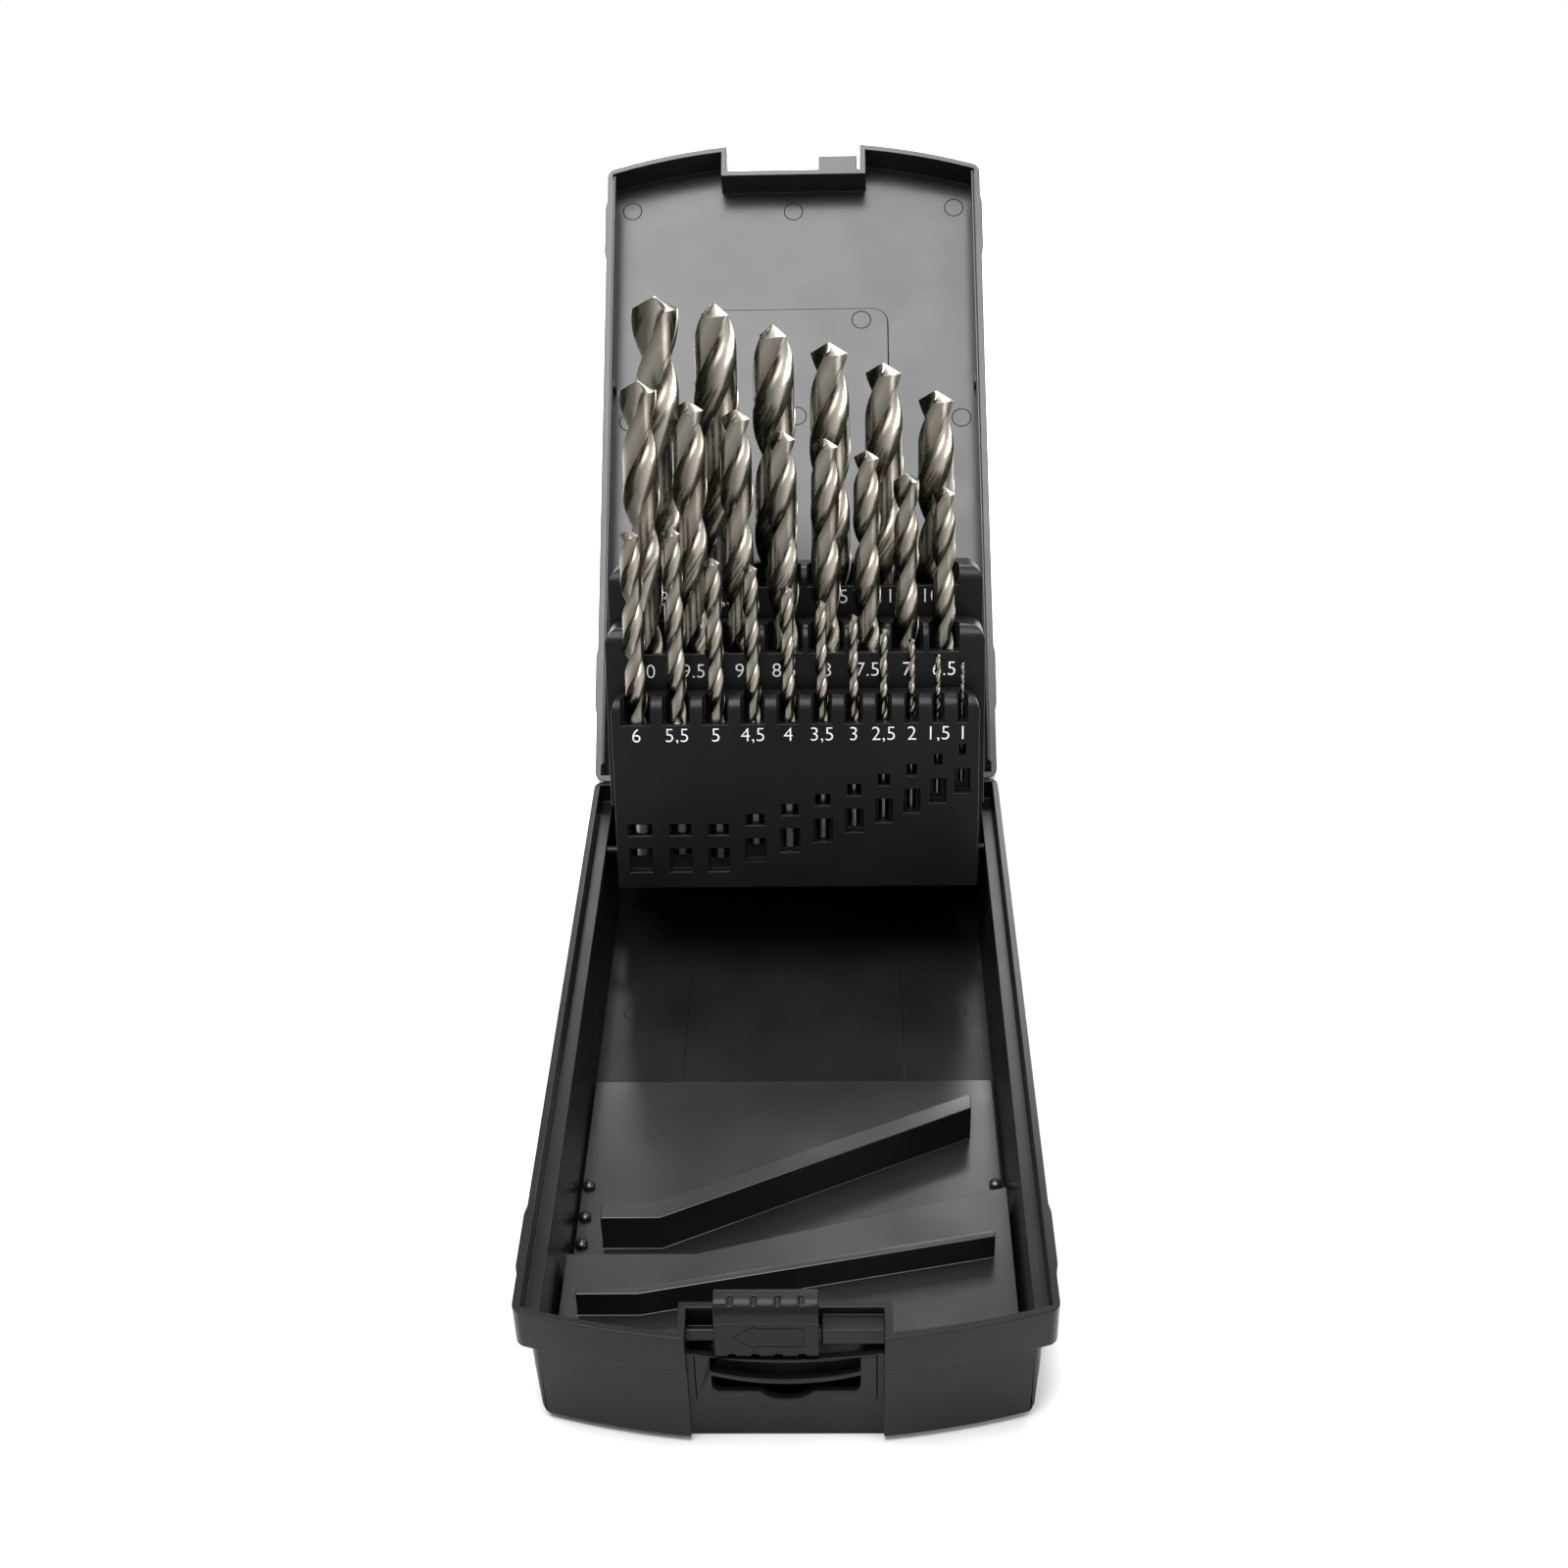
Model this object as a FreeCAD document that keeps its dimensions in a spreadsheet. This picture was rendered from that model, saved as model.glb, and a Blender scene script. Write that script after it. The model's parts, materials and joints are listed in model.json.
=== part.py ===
"""Drill bit case: a moulded tray, a hinged lid and three racks of twist drills that fan out.

Millimetres.  X runs to the right, Y to the back (hinge side), Z up.  The origin lies on the
floor under the middle of the case.  The case stands open, as it is used: the lid rests on its
stop and the racks lean back.  Each rack and the lid is drawn in a frame of its own, at its pin.
"""
import FreeCAD, Part
import math
import os
import Sketcher

doc = FreeCAD.newDocument("drill_bit_case")

# Driving dimensions
CASE = (
    ("case_width", 120.0, "outer width over the rim"),
    ("case_length", 213.6, "outer length at the middle"),
    ("front_bulge", 9.4, "how far the curved front stands out at the middle"),
    ("base_height", 35.7, "height of the tray"),
    ("lid_depth", 13.0, "outer depth of the lid"),
    ("wall", 2.0, "wall of tray and lid"),
    ("floor_thickness", 2.2, "floor of the tray"),
    ("rim_wall", 1.8, "wall of the rim band and of the notch"),
    ("band_height", 11.2, "height of the rim band"),
    ("band_step", 3.2, "how far the band stands out over the tray's sides"),
    ("ledge_height", 29.7, "height of the ledge inside the rim"),
    ("draft", 1.3, "how far the tray's sides lean in toward the floor"),
    ("plan_radius", 3.0, "upright corners"),
    ("bottom_radius", 5.0, "bottom side edges of the tray"),
    ("bottom_bevel", 1.8, "bottom front and rear edges of the tray"),
    ("top_bevel", 2.6, "top edges of the lid"),
    ("parting_gap", 0.3, "gap between tray and closed lid"),
    ("lip_height", 1.5, "dust lip under the lid's rim"),
    ("lip_thickness", 0.8, "thickness of the dust lip"),
    ("overrun", 2.0, "how far a cut runs past the face it opens"),
    ("panel_relief", 0.4, "relief of the panels on floor and lid"),
    ("panel_length", 100.0, "length of those panels"),
    ("panel_side", 60.0, "width of those panels"),
    ("panel_corner", 5.0, "corner radius of those panels"),
    ("lid_panel_reach", 159.5, "far end of the lid's panel from the hinge"),
    ("base_panel_back", 62.0, "far end of the tray's panel from the middle"),
    ("bump_proud", 0.5, "grip bumps on the side walls"),
    ("bump_length", 21.0, "length of a grip bump"),
)
FRONT = (
    ("front_step", 1.2, "how far the band stands out over the tray at the middle of the front"),
    ("corner_step", 1.5, "the same at the ends of the front"),
    ("notch_half", 21.6, "half width of the notch for the latch"),
    ("notch_depth", 10.0, "depth of the notch from the middle of the front"),
    ("panel_face", 4.6, "handle panel behind the middle of the front"),
    ("panel_wall", 1.5, "wall of the handle panel"),
    ("panel_pad", 0.4, "how far the slotted part stands out"),
    ("panel_pad_foot", 10.3, "bottom of the slotted part"),
    ("panel_pad_half", 20.0, "half width of the slotted part"),
    ("panel_pad_corner", 2.6, "rounded lower corners of the slotted part"),
    ("panel_top", 27.0, "top of the handle panel at its ends"),
    ("smile", 1.6, "dip of the panel's top at the middle"),
    ("rail_front", 6.4, "front of the latch rail behind the middle of the front"),
    ("rail_foot", 29.1, "underside of the latch rail"),
    ("rail_plate", 1.0, "thickness of the rail"),
    ("rail_lip", 2.3, "height of the lip along the rail"),
    ("rail_lip_thickness", 1.0, "thickness of that lip"),
    ("slot_half", 16.4, "half width of the handle slots"),
    ("catch_shelf_left", 8.1, "left end of the shelf beside the open latch"),
    ("catch_shelf_front", 5.4, "front of that shelf behind the middle of the front"),
    ("catch_shelf_top", 33.5, "top of that shelf"),
    ("slot_strip", 1.0, "strip above the slots"),
    ("slot_bar", 1.4, "bar between the slots"),
    ("upper_slot_height", 4.4, "height of the upper slot at its ends"),
    ("slot_dip", 2.8, "dip of the bar between the slots"),
    ("lower_slot_height", 5.3, "height of the lower slot at its ends"),
    ("lower_slot_round", 2.2, "rounded lower corners of the lower slot"),
    ("thumb_half", 6.0, "half width of the thumb hollow"),
    ("thumb_drop", 2.7, "drop of the thumb hollow"),
)
LATCH = (
    ("latch_width", 22.7, "width of the sliding latch"),
    ("latch_left", 15.3, "its left edge from the middle, open"),
    ("latch_plate", 1.2, "thickness of its plate"),
    ("latch_gap", 0.3, "running gap of the latch"),
    ("latch_face", 3.6, "its face behind the middle of the front"),
    ("latch_foot", 27.4, "its lower edge"),
    ("latch_top", 43.4, "top of its grip roll"),
    ("roll_depth", 5.6, "depth of the grip roll behind the plate's face"),
    ("roll_proud", 0.6, "how far the roll stands out over the plate"),
    ("roll_height", 5.6, "height of the grip roll"),
    ("roll_roof", 1.6, "roof of the grip roll"),
    ("roll_lip", 1.4, "thickness of the hook behind the roll"),
    ("roll_radius", 3.0, "rounding of the roll at the front"),
    ("roll_back_radius", 1.4, "rounding of the roll at the back"),
    ("hook_thickness", 1.0, "hooks that hold the latch on its rail"),
    ("hook_reach", 1.7, "how far the upper hook reaches down behind the rail's lip"),
    ("hook_width", 8.6, "width of the upper hook, at the latch's left end"),
    ("grip_pitch", 5.1, "pitch of the grooves in the roll"),
    ("grip_radius", 0.8, "radius of those grooves"),
    ("grip_length", 3.6, "length of those grooves from the roll's front"),
    ("tab_left", 8.2, "left edge of the lid's catch tab"),
    ("tab_width", 12.4, "width of the catch tab"),
    ("tab_reach", 4.8, "reach of the catch tab"),
    ("tab_thickness", 1.0, "thickness of the tab's leg"),
    ("tab_lip", 1.2, "thickness of the tab's lip"),
    ("tab_rise", 3.6, "height of the tab's lip"),
)
HINGE = (
    ("lid_angle", 139.0, "how far the lid opens"),
    ("knuckle_radius", 2.6, "hinge knuckles"),
    ("knuckle_length", 8.0, "length of a knuckle"),
    ("knuckle_gap", 0.3, "gap round and beside the knuckles"),
    ("hinge_place", 38.0, "hinges from the middle"),
    ("hinge_pin_radius", 1.0, "hinge pins"),
    ("hinge_pin_gap", 0.05, "running gap of the hinge pins"),
    ("lug_place", 134.0, "side lugs in the lid from the hinge"),
    ("lug_length", 3.0, "length of a side lug"),
    ("lug_height", 5.0, "height of a side lug"),
    ("lug_proud", 1.2, "how far a side lug stands in"),
)
RACKS = (
    ("pin_back", 24.16, "rack pin in front of the rear face, racks up"),
    ("pin_height", 27.8, "height of the rack pin"),
    ("pin_travel", 20.0, "how far the pin slides forward as the case closes"),
    ("pin_radius", 1.2, "rack pins"),
    ("pin_gap", 0.05, "running gap of the rack pins"),
    ("pin_inner", 43.0, "inner end of a rack pin from the middle"),
    ("groove_depth", 1.2, "groove in the side wall for the pins"),
    ("groove_gap", 0.15, "gap round the pin in its groove"),
    ("eye_radius", 2.7, "eye of a rack round its pin"),
    ("cheek", 1.2, "thickness of a rack's side cheek"),
    ("cheek_gap", 0.3, "gap between the cheeks"),
    ("cheek_rise", 14.0, "height of the cheeks above the pin"),
    ("cheek_core", 49.0, "half width of the middle rack at the pin"),
    ("rack_shift", 1.0, "how far the racks stand to the right of the middle"),
    ("top_round", 4.5, "rounded front edge of a rack"),
    ("side_round", 4.5, "rounded top corners of a rack"),
    ("bore_gap", 0.2, "gap round a drill in its bore"),
    ("notch_margin", 0.6, "notch beside the drill"),
    ("window_margin", 0.4, "upper window beside the drill"),
    ("window_top", 16.0, "top of the upper windows of the three thickest drills"),
    ("window_rise", 2.85, "rise of the windows from each further drill to the next"),
    ("window_upper_height", 3.3, "height of an upper window"),
    ("window_drop", 7.2, "top of a lower window below the top of the upper one"),
    ("window_lower_width", 3.9, "lower window of a very thin drill"),
    ("window_lower_height", 7.0, "height of a lower window"),
)
# Rack: half width, thickness, offset in front of the pin, foot, top, notch, lean, first bore, web
RACK_FIELDS = ("half", "thickness", "offset", "foot", "top", "notch", "lean", "first", "web")
RACK_SIZES = {
    "small": (50.5, 9.0, 17.3, -3.0, 52.5, 45.1, 15.0, -43.7, 5.46),
    "medium": (52.6, 13.0, 6.0, -1.5, 68.6, 61.4, 17.5, -41.5, 3.58),
    "large": (53.0, 15.5, -8.55, -5.5, 82.2, 76.6, 20.5, -38.1, 3.87),
}
# Drill: rack, diameter, overall length, flute length, height of its tail above the pin
DRILLS = (
    ("small", 6.0, 93.0, 57.0, 5.9), ("small", 5.5, 93.0, 57.0, 6.2), ("small", 5.0, 86.0, 52.0, 4.9),
    ("small", 4.5, 80.0, 47.0, 9.0), ("small", 4.0, 75.0, 43.0, 7.9), ("small", 3.5, 70.0, 39.0, 8.8),
    ("small", 3.0, 61.0, 33.0, 13.9), ("small", 2.5, 57.0, 30.0, 13.8), ("small", 2.0, 49.0, 24.0, 18.9),
    ("small", 1.5, 40.0, 18.0, 23.4), ("small", 1.0, 34.0, 12.0, 26.9),
    ("medium", 10.0, 133.0, 87.0, 2.9), ("medium", 9.5, 125.0, 81.0, 5.3), ("medium", 9.0, 125.0, 81.0, 2.7),
    ("medium", 8.5, 117.0, 75.0, 4.9), ("medium", 8.0, 117.0, 75.0, 2.6), ("medium", 7.5, 109.0, 69.0, 7.2),
    ("medium", 7.0, 109.0, 69.0, 0.8), ("medium", 6.5, 101.0, 63.0, 4.9),
    ("large", 13.0, 151.0, 101.0, 6.2), ("large", 12.5, 151.0, 101.0, 4.0), ("large", 12.0, 151.0, 101.0, -2.0),
    ("large", 11.5, 142.0, 94.0, 1.9), ("large", 11.0, 142.0, 94.0, -3.9), ("large", 10.5, 133.0, 87.0, -2.7),
)
DRILL_FIELDS = ("diameter", "length", "flute", "seat")
INSERT = (
    ("insert_gap", 1.8, "insert beside the walls of the tray"),
    ("insert_back", 9.3, "rear edge of the insert behind the middle"),
    ("insert_front", 93.4, "front edge of the insert before the middle"),
    ("plate_thickness", 2.3, "lower plate and skin of the insert"),
    ("shelf_height", 14.5, "top of the raised shelf"),
    ("shelf_kink", 22.2, "kink of the shelf's rear edge, left of the middle"),
    ("shelf_left", 61.4, "shelf's rear edge at its left end, before the middle"),
    ("shelf_right", 40.0, "shelf's rear edge at its right end, before the middle"),
    ("rib1_top", 15.0, "top of the thick rib"),
    ("rib1_depth", 5.4, "thick rib, front to back"),
    ("rib1_end", 46.0, "ends of the thick rib from the middle"),
    ("rib1_kink", 31.5, "kink of the thick rib, left of the middle"),
    ("rib1_left", 50.4, "front of the thick rib at its left end"),
    ("rib1_right", 12.6, "front of the thick rib at its right end"),
    ("rib2_top", 21.5, "top of the thin rib"),
    ("rib2_depth", 2.1, "thin rib, front to back"),
    ("rib2_end", 48.6, "ends of the thin rib from the middle"),
    ("rib2_kink", 34.2, "kink of the thin rib, left of the middle"),
    ("rib2_left", 80.2, "front of the thin rib at its left end"),
    ("rib2_right", 62.8, "front of the thin rib at its right end"),
    ("peg_radius", 0.9, "shaft of a peg"),
    ("peg_gap", 0.15, "gap round a peg"),
    ("peg_head", 1.5, "head of a peg"),
    ("peg_rise", 1.5, "height of a peg's head"),
    ("peg_place", 51.4, "pegs from the middle"),
    ("peg_first", 29.6, "first peg before the middle"),
    ("peg_second", 40.3, "second peg before the middle"),
    ("peg_third", 49.4, "third peg before the middle"),
)
# Twist drills: shape of the cross-section and of the point
FLUTE_ANGLE_shares = (0.0, 0.4, 0.7)
FLUTE_RADIUS_shares = (0.995, 0.995, 0.42)
TURN_share = 5.44
POINT_share = 0.30
STEPS_PER_TURN = 7
MOST_STEPS = 11
# Bores, shanks, pegs, hinge pins and grip grooves are prisms with this many sides
SIDES = {"small": 8, "medium": 12, "large": 12, "peg": 8, "peg_head": 12, "grip": 8, "hinge_pin": 12}
WINDOW_WIDTH_share = 0.42

sheet = doc.addObject("Spreadsheet::Sheet", "Dims")


class Size:
    """A length with its value and the expression that gives it from the sheet."""

    def __init__(self, value, text):
        self.value = value
        self.text = text

    def join(self, other, sign, value):
        text = other.text if isinstance(other, Size) else repr(other)
        return Size(value, "(" + self.text + " " + sign + " " + text + ")")

    def __add__(self, other):
        return self.join(other, "+", self.value + number(other))

    def __sub__(self, other):
        return self.join(other, "-", self.value - number(other))

    def __mul__(self, other):
        return self.join(other, "*", self.value * number(other))

    def __truediv__(self, other):
        return self.join(other, "/", self.value / number(other))

    def __neg__(self):
        return Size(-self.value, "(0 - " + self.text + ")")


def number(size):
    """The plain value of a Size or a number."""
    return size.value if isinstance(size, Size) else float(size)


def root(size):
    """The square root of a Size."""
    return Size(math.sqrt(size.value), "sqrt(" + size.text + ")")


ZERO = Size(0.0, "0")
sizes = {}


def enter(alias, value, note):
    """One driving dimension goes into the sheet under its alias."""
    row = str(len(sizes) + 1)
    sheet.set("A" + row, alias)
    sheet.set("B" + row, str(value))
    sheet.set("C" + row, note)
    sheet.setAlias("B" + row, alias)
    sizes[alias] = Size(float(value), "Dims." + alias)


class Named:
    """Driving dimensions by name: dim.case_width."""

    def __getattr__(self, alias):
        return sizes[alias]


dim = Named()


def drill_name(diameter):
    """Node name of a drill, such as drill_5_5."""
    return "drill_" + str(diameter).replace(".", "_")


for group in (CASE, FRONT, LATCH, HINGE, RACKS, INSERT):
    for alias, value, note in group:
        enter(alias, value, note)
for rack, values in RACK_SIZES.items():
    for field, value in zip(RACK_FIELDS, values):
        enter("rack_" + rack + "_" + field, value, field + " of the " + rack + " rack")
for rack, *values in DRILLS:
    for field, value in zip(DRILL_FIELDS, values):
        enter(drill_name(values[0]) + "_" + field, value, field + " of this drill")
doc.recompute()


def bind(obj, path, size):
    """A property follows an expression, or holds zero."""
    obj.setExpression(path, size.text)


def place(obj, x, y, z):
    """Place an object by three Sizes."""
    obj.Placement = FreeCAD.Placement(FreeCAD.Vector(x.value, y.value, z.value), obj.Placement.Rotation)
    for axis, size in (("x", x), ("y", y), ("z", z)):
        bind(obj, ".Placement.Base." + axis, size)


def box(name, x0, x1, y0, y1, z0, z1):
    """An upright block between six Sizes."""
    block = doc.addObject("Part::Box", name)
    for prop, size in (("Length", x1 - x0), ("Width", y1 - y0), ("Height", z1 - z0)):
        bind(block, prop, size)
    place(block, x0, y0, z0)
    return block


def rod(name, radius, length, x, y, z, axis="z"):
    """A cylinder that starts at a point and runs along an axis."""
    cylinder = doc.addObject("Part::Cylinder", name)
    bind(cylinder, "Radius", radius)
    bind(cylinder, "Height", length)
    if axis == "x":
        cylinder.Placement.Rotation = FreeCAD.Rotation(FreeCAD.Vector(0, 1, 0), 90)
    if axis == "y":
        cylinder.Placement.Rotation = FreeCAD.Rotation(FreeCAD.Vector(1, 0, 0), -90)
    place(cylinder, x, y, z)
    return cylinder


def prism(name, sides, radius, length, x, y, z, axis="z"):
    """An upright or lying prism with its corners on a circle."""
    block = doc.addObject("Part::Prism", name)
    block.Polygon = sides
    bind(block, "Circumradius", radius)
    bind(block, "Height", length)
    if axis == "x":
        block.Placement.Rotation = FreeCAD.Rotation(FreeCAD.Vector(0, 1, 0), 90)
    if axis == "y":
        block.Placement.Rotation = FreeCAD.Rotation(FreeCAD.Vector(1, 0, 0), -90)
    place(block, x, y, z)
    return block


def spread(sides):
    """How much farther out the corners of a prism lie than its flats."""
    return 1 / math.cos(math.pi / sides)


def fuse(name, shapes):
    """Several shapes as one."""
    joined = doc.addObject("Part::MultiFuse", name)
    joined.Shapes = shapes
    joined.Refine = True
    return joined


def cut(name, base, tools):
    """A shape without several others."""
    tool = tools[0]
    if len(tools) > 1:
        tool = doc.addObject("Part::MultiFuse", name + "_tools")
        tool.Shapes = tools
    result = doc.addObject("Part::Cut", name)
    result.Base = base
    result.Tool = tool
    result.Refine = True
    return result


def extrude(name, loops, height, plane="xy", offset=ZERO):
    """A sketch of closed loops, drawn on a plane and pushed along its normal."""
    sketch = doc.addObject("Sketcher::SketchObject", name + "_sketch")
    turns = {
        "xy": FreeCAD.Rotation(),
        "xz": FreeCAD.Rotation(FreeCAD.Vector(1, 0, 0), 90),
        "yz": FreeCAD.Rotation(FreeCAD.Vector(1, 1, 1), 120),
    }
    sketch.Placement.Rotation = turns[plane]
    along = {"xy": (ZERO, ZERO, offset), "xz": (ZERO, offset, ZERO), "yz": (offset, ZERO, ZERO)}[plane]
    place(sketch, *along)
    for corners in loops:
        draw_loop(sketch, corners)
    solid = doc.addObject("Part::Extrusion", name)
    solid.Base = sketch
    solid.DirMode = "Normal"
    bind(solid, "LengthFwd", height)
    solid.Solid = True
    return solid


def draw_loop(sketch, corners):
    """Corners are (across, up) or (across, up, sagitta): the edge to the next corner bulges by that much.

    A positive sagitta bulges to the right of the way to the next corner.  Arcs run anticlockwise,
    so one that bulges to the left is drawn from its far corner.
    """
    edges = []
    ends = []
    count = len(corners)
    for index, corner in enumerate(corners):
        following = corners[(index + 1) % count]
        start = FreeCAD.Vector(corner[0].value, corner[1].value, 0)
        end = FreeCAD.Vector(following[0].value, following[1].value, 0)
        turned = len(corner) == 3 and corner[2].value < 0
        if len(corner) == 3:
            side = (end - start).cross(FreeCAD.Vector(0, 0, 1)).normalize()
            middle = (start + end) * 0.5 + side * corner[2].value
            far_ends = (end, start) if turned else (start, end)
            edge = sketch.addGeometry(Part.Arc(far_ends[0], middle, far_ends[1]))
        else:
            edge = sketch.addGeometry(Part.LineSegment(start, end))
        edges.append(edge)
        ends.append((2, 1) if turned else (1, 2))
    for index, corner in enumerate(corners):
        edge, ahead = edges[index], edges[(index + 1) % count]
        sketch.addConstraint(
            Sketcher.Constraint("Coincident", edge, ends[index][1], ahead, ends[(index + 1) % count][0]))
        for kind, size in (("DistanceX", corner[0]), ("DistanceY", corner[1])):
            pin = sketch.addConstraint(Sketcher.Constraint(kind, -1, 1, edge, ends[index][0], size.value))
            sketch.setExpression("Constraints[%d]" % pin, size.text)
        if len(corner) == 3:
            following = corners[(index + 1) % count]
            across = following[0] - corner[0]
            up = following[1] - corner[1]
            half_chord_squared = (across * across + up * up) / 4
            sagitta = corner[2] if corner[2].value > 0 else -corner[2]
            radius = (half_chord_squared + sagitta * sagitta) / (sagitta * 2)
            pin = sketch.addConstraint(Sketcher.Constraint("Radius", edge, radius.value))
            sketch.setExpression("Constraints[%d]" % pin, radius.text)


def quarter(radius):
    """Sagitta of a quarter circle."""
    return radius * (1 - math.sqrt(0.5))


def rounded(name, shape, chosen, radius):
    """A fillet on the edges that a test chooses."""
    doc.recompute()
    fillet = doc.addObject("Part::Fillet", name)
    fillet.Base = shape
    picked = []
    for index, edge in enumerate(shape.Shape.Edges):
        if chosen(edge):
            picked.append((index + 1, radius.value, radius.value))
    fillet.Edges = picked
    return fillet


def beveled(name, shape, chosen, width):
    """A chamfer on the edges that a test chooses."""
    doc.recompute()
    chamfer = doc.addObject("Part::Chamfer", name)
    chamfer.Base = shape
    picked = []
    for index, edge in enumerate(shape.Shape.Edges):
        if chosen(edge):
            picked.append((index + 1, width.value, width.value))
    chamfer.Edges = picked
    return chamfer


def common(name, shapes):
    """What several shapes share."""
    shared = doc.addObject("Part::MultiCommon", name)
    shared.Shapes = shapes
    return shared


def is_upright(edge):
    """A straight edge along Z."""
    return edge.BoundBox.XLength < 1e-6 and edge.BoundBox.YLength < 1e-6


def lies_at(edge, height):
    """An edge wholly at one height."""
    return edge.BoundBox.ZLength < 1e-6 and abs(edge.BoundBox.ZMin - height.value) < 1e-6


def piece(node, shape):
    """The finished sub-part carries the node's name."""
    shape.Label = node
    finished.append(shape)
    return shape


finished = []
half_width = dim.case_width / 2
half_length = dim.case_length / 2
front_radius = (half_width * half_width + dim.front_bulge * dim.front_bulge) / (dim.front_bulge * 2)


def front_at(across):
    """Y of the case's curved front at a distance from the middle."""
    return front_radius - half_length - root(front_radius * front_radius - across * across)


def plan(side_inset, corner_inset, nose_inset, back_inset, notched=False, wall=ZERO):
    """Outline of the case from above: straight sides, curved front, and the latch notch if asked."""
    side = half_width - side_inset
    back = half_length - back_inset
    corner = front_at(side) + corner_inset
    nose = nose_inset - half_length
    bulge = corner - nose
    if not notched:
        return [(-side, back), (-side, corner, bulge), (side, corner), (side, back)]
    radius = (side * side + bulge * bulge) / (bulge * 2)
    jog = dim.notch_half + wall
    jog_front = nose + radius - root(radius * radius - jog * jog)
    jog_back = dim.notch_depth - half_length + wall
    across = side - jog
    up = jog_front - corner
    sagitta = radius - root(radius * radius - (across * across + up * up) / 4)
    return [(-side, back), (-side, corner, sagitta), (-jog, jog_front), (-jog, jog_back), (jog, jog_back),
            (jog, jog_front, sagitta), (side, corner), (side, back)]


def grip_bump(name, side, y, z0, z1):
    """A shallow grip bump on a side wall; its ends run out in slopes."""
    face = half_width - dim.wall / 2
    out = half_width + dim.bump_proud
    half = dim.bump_length / 2
    slope = dim.bump_length / 8
    loop = [(face, y - half), (half_width, y - half), (out, y - half + slope), (out, y + half - slope),
            (half_width, y + half), (face, y + half)]
    if side < 0:
        loop = [(-x, y) for x, y in reversed(loop)]
    return extrude(name, [loop], z1 - z0, offset=z0)


def relief_panel(name, y0, y1, z0, z1):
    """A flat panel with rounded corners, in slight relief."""
    half = dim.panel_side / 2
    block = box(name + "_block", -half, half, y0, y1, z0, z1)
    return rounded(name, block, is_upright, dim.panel_corner)


def knuckle_spans(lid_side, extra=ZERO):
    """Ends of the knuckles of one side: the tray has the middle one of each hinge, the lid the outer two."""
    spans = []
    step = dim.knuckle_length + dim.knuckle_gap
    for hinge in (-1, 1):
        for offset in (-1, 1) if lid_side else (0,):
            middle = dim.hinge_place * hinge + step * offset
            reach = dim.knuckle_length / 2 + extra
            spans.append((middle - reach, middle + reach))
    return spans


def knuckles(name, lid_side, y, z):
    """Hinge knuckles of one side."""
    parts = []
    for x0, x1 in knuckle_spans(lid_side):
        parts.append(rod(name + "_%d" % len(parts), dim.knuckle_radius, x1 - x0, x0, y, z, "x"))
    return parts


# Tray
band_foot = dim.base_height - dim.band_height
notch_back = dim.notch_depth - half_length
pin_y = half_length - dim.pin_back


def base_tray():
    """Tray with its rim band, latch notch, rail, slotted handle panel, pin grooves and knuckles."""
    lower = extrude("tray_body", [plan(dim.band_step, dim.corner_step, dim.front_step, ZERO)], dim.base_height)
    lower = rounded("tray_corners", lower, is_upright, dim.plan_radius)
    lower = beveled("tray_bottom", lower, lambda edge: lies_at(edge, ZERO), dim.bottom_bevel)
    lower = common("tray_drafted", [lower, drafted("tray_profile", ZERO, ZERO, dim.bottom_radius)])
    band = extrude("tray_band", [plan(ZERO, ZERO, ZERO, ZERO)], dim.band_height, offset=band_foot)
    band = rounded("band_corners", band, is_upright, dim.plan_radius)
    solid = fuse("tray_solid", [lower, band] + tray_bumps())
    side = dim.band_step + dim.wall
    outline = plan(side, dim.corner_step + dim.wall, dim.front_step + dim.wall, dim.wall, True, dim.rim_wall)
    hollow = extrude("tray_hollow", [outline], dim.base_height, offset=dim.floor_thickness)
    hollow = common("tray_hollow_drafted", [hollow, drafted("hollow_profile", dim.wall, dim.floor_thickness)])
    mouth = extrude("tray_mouth", [plan(dim.rim_wall, dim.rim_wall, dim.rim_wall, dim.wall, True, dim.rim_wall)],
                    dim.base_height, offset=dim.ledge_height)
    rooms = knuckle_room("lid_knuckle_room", True, half_length, dim.base_height, True)
    shell = cut("tray_shell", solid, [hollow, mouth] + front_cuts() + pin_grooves() + rooms)
    floor_panel = relief_panel("tray_panel", dim.insert_back + dim.parting_gap, dim.base_panel_back,
                               dim.floor_thickness, dim.floor_thickness + dim.panel_relief)
    shelf = box("catch_shelf", dim.catch_shelf_left, dim.notch_half + dim.rim_wall / 2,
                dim.catch_shelf_front - half_length, notch_back + dim.rim_wall / 2, dim.rail_foot,
                dim.catch_shelf_top)
    barrels = knuckles("tray_knuckle", False, half_length, dim.base_height)
    whole = fuse("tray_whole", [shell, floor_panel, shelf] + barrels)
    bores = hinge_bores("tray_bore", half_length, dim.base_height)
    return piece("base_tray", cut("base_tray_solid", whole, bores))


def drafted(name, inset, foot, radius=None):
    """Front view of the tray's body as a long bar: sides that lean in, bottom corners round if asked."""
    wide = half_width - dim.band_step - inset
    lean = dim.draft / band_foot
    high = dim.base_height + dim.overrun
    if radius is None:
        narrow = wide - lean * (band_foot - foot)
        loop = [(-narrow, foot), (narrow, foot), (wide, band_foot), (wide, high), (-wide, high),
                (-wide, band_foot)]
    else:
        side = wide - lean * (band_foot - radius)
        loop = [(radius - side, foot), (side - radius, foot, quarter(radius)), (side, radius),
                (wide, band_foot), (wide, high), (-wide, high), (-wide, band_foot),
                (-side, radius, quarter(radius))]
    return extrude(name, [loop], dim.case_length + dim.overrun * 2, "xz", half_length + dim.overrun)


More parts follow.
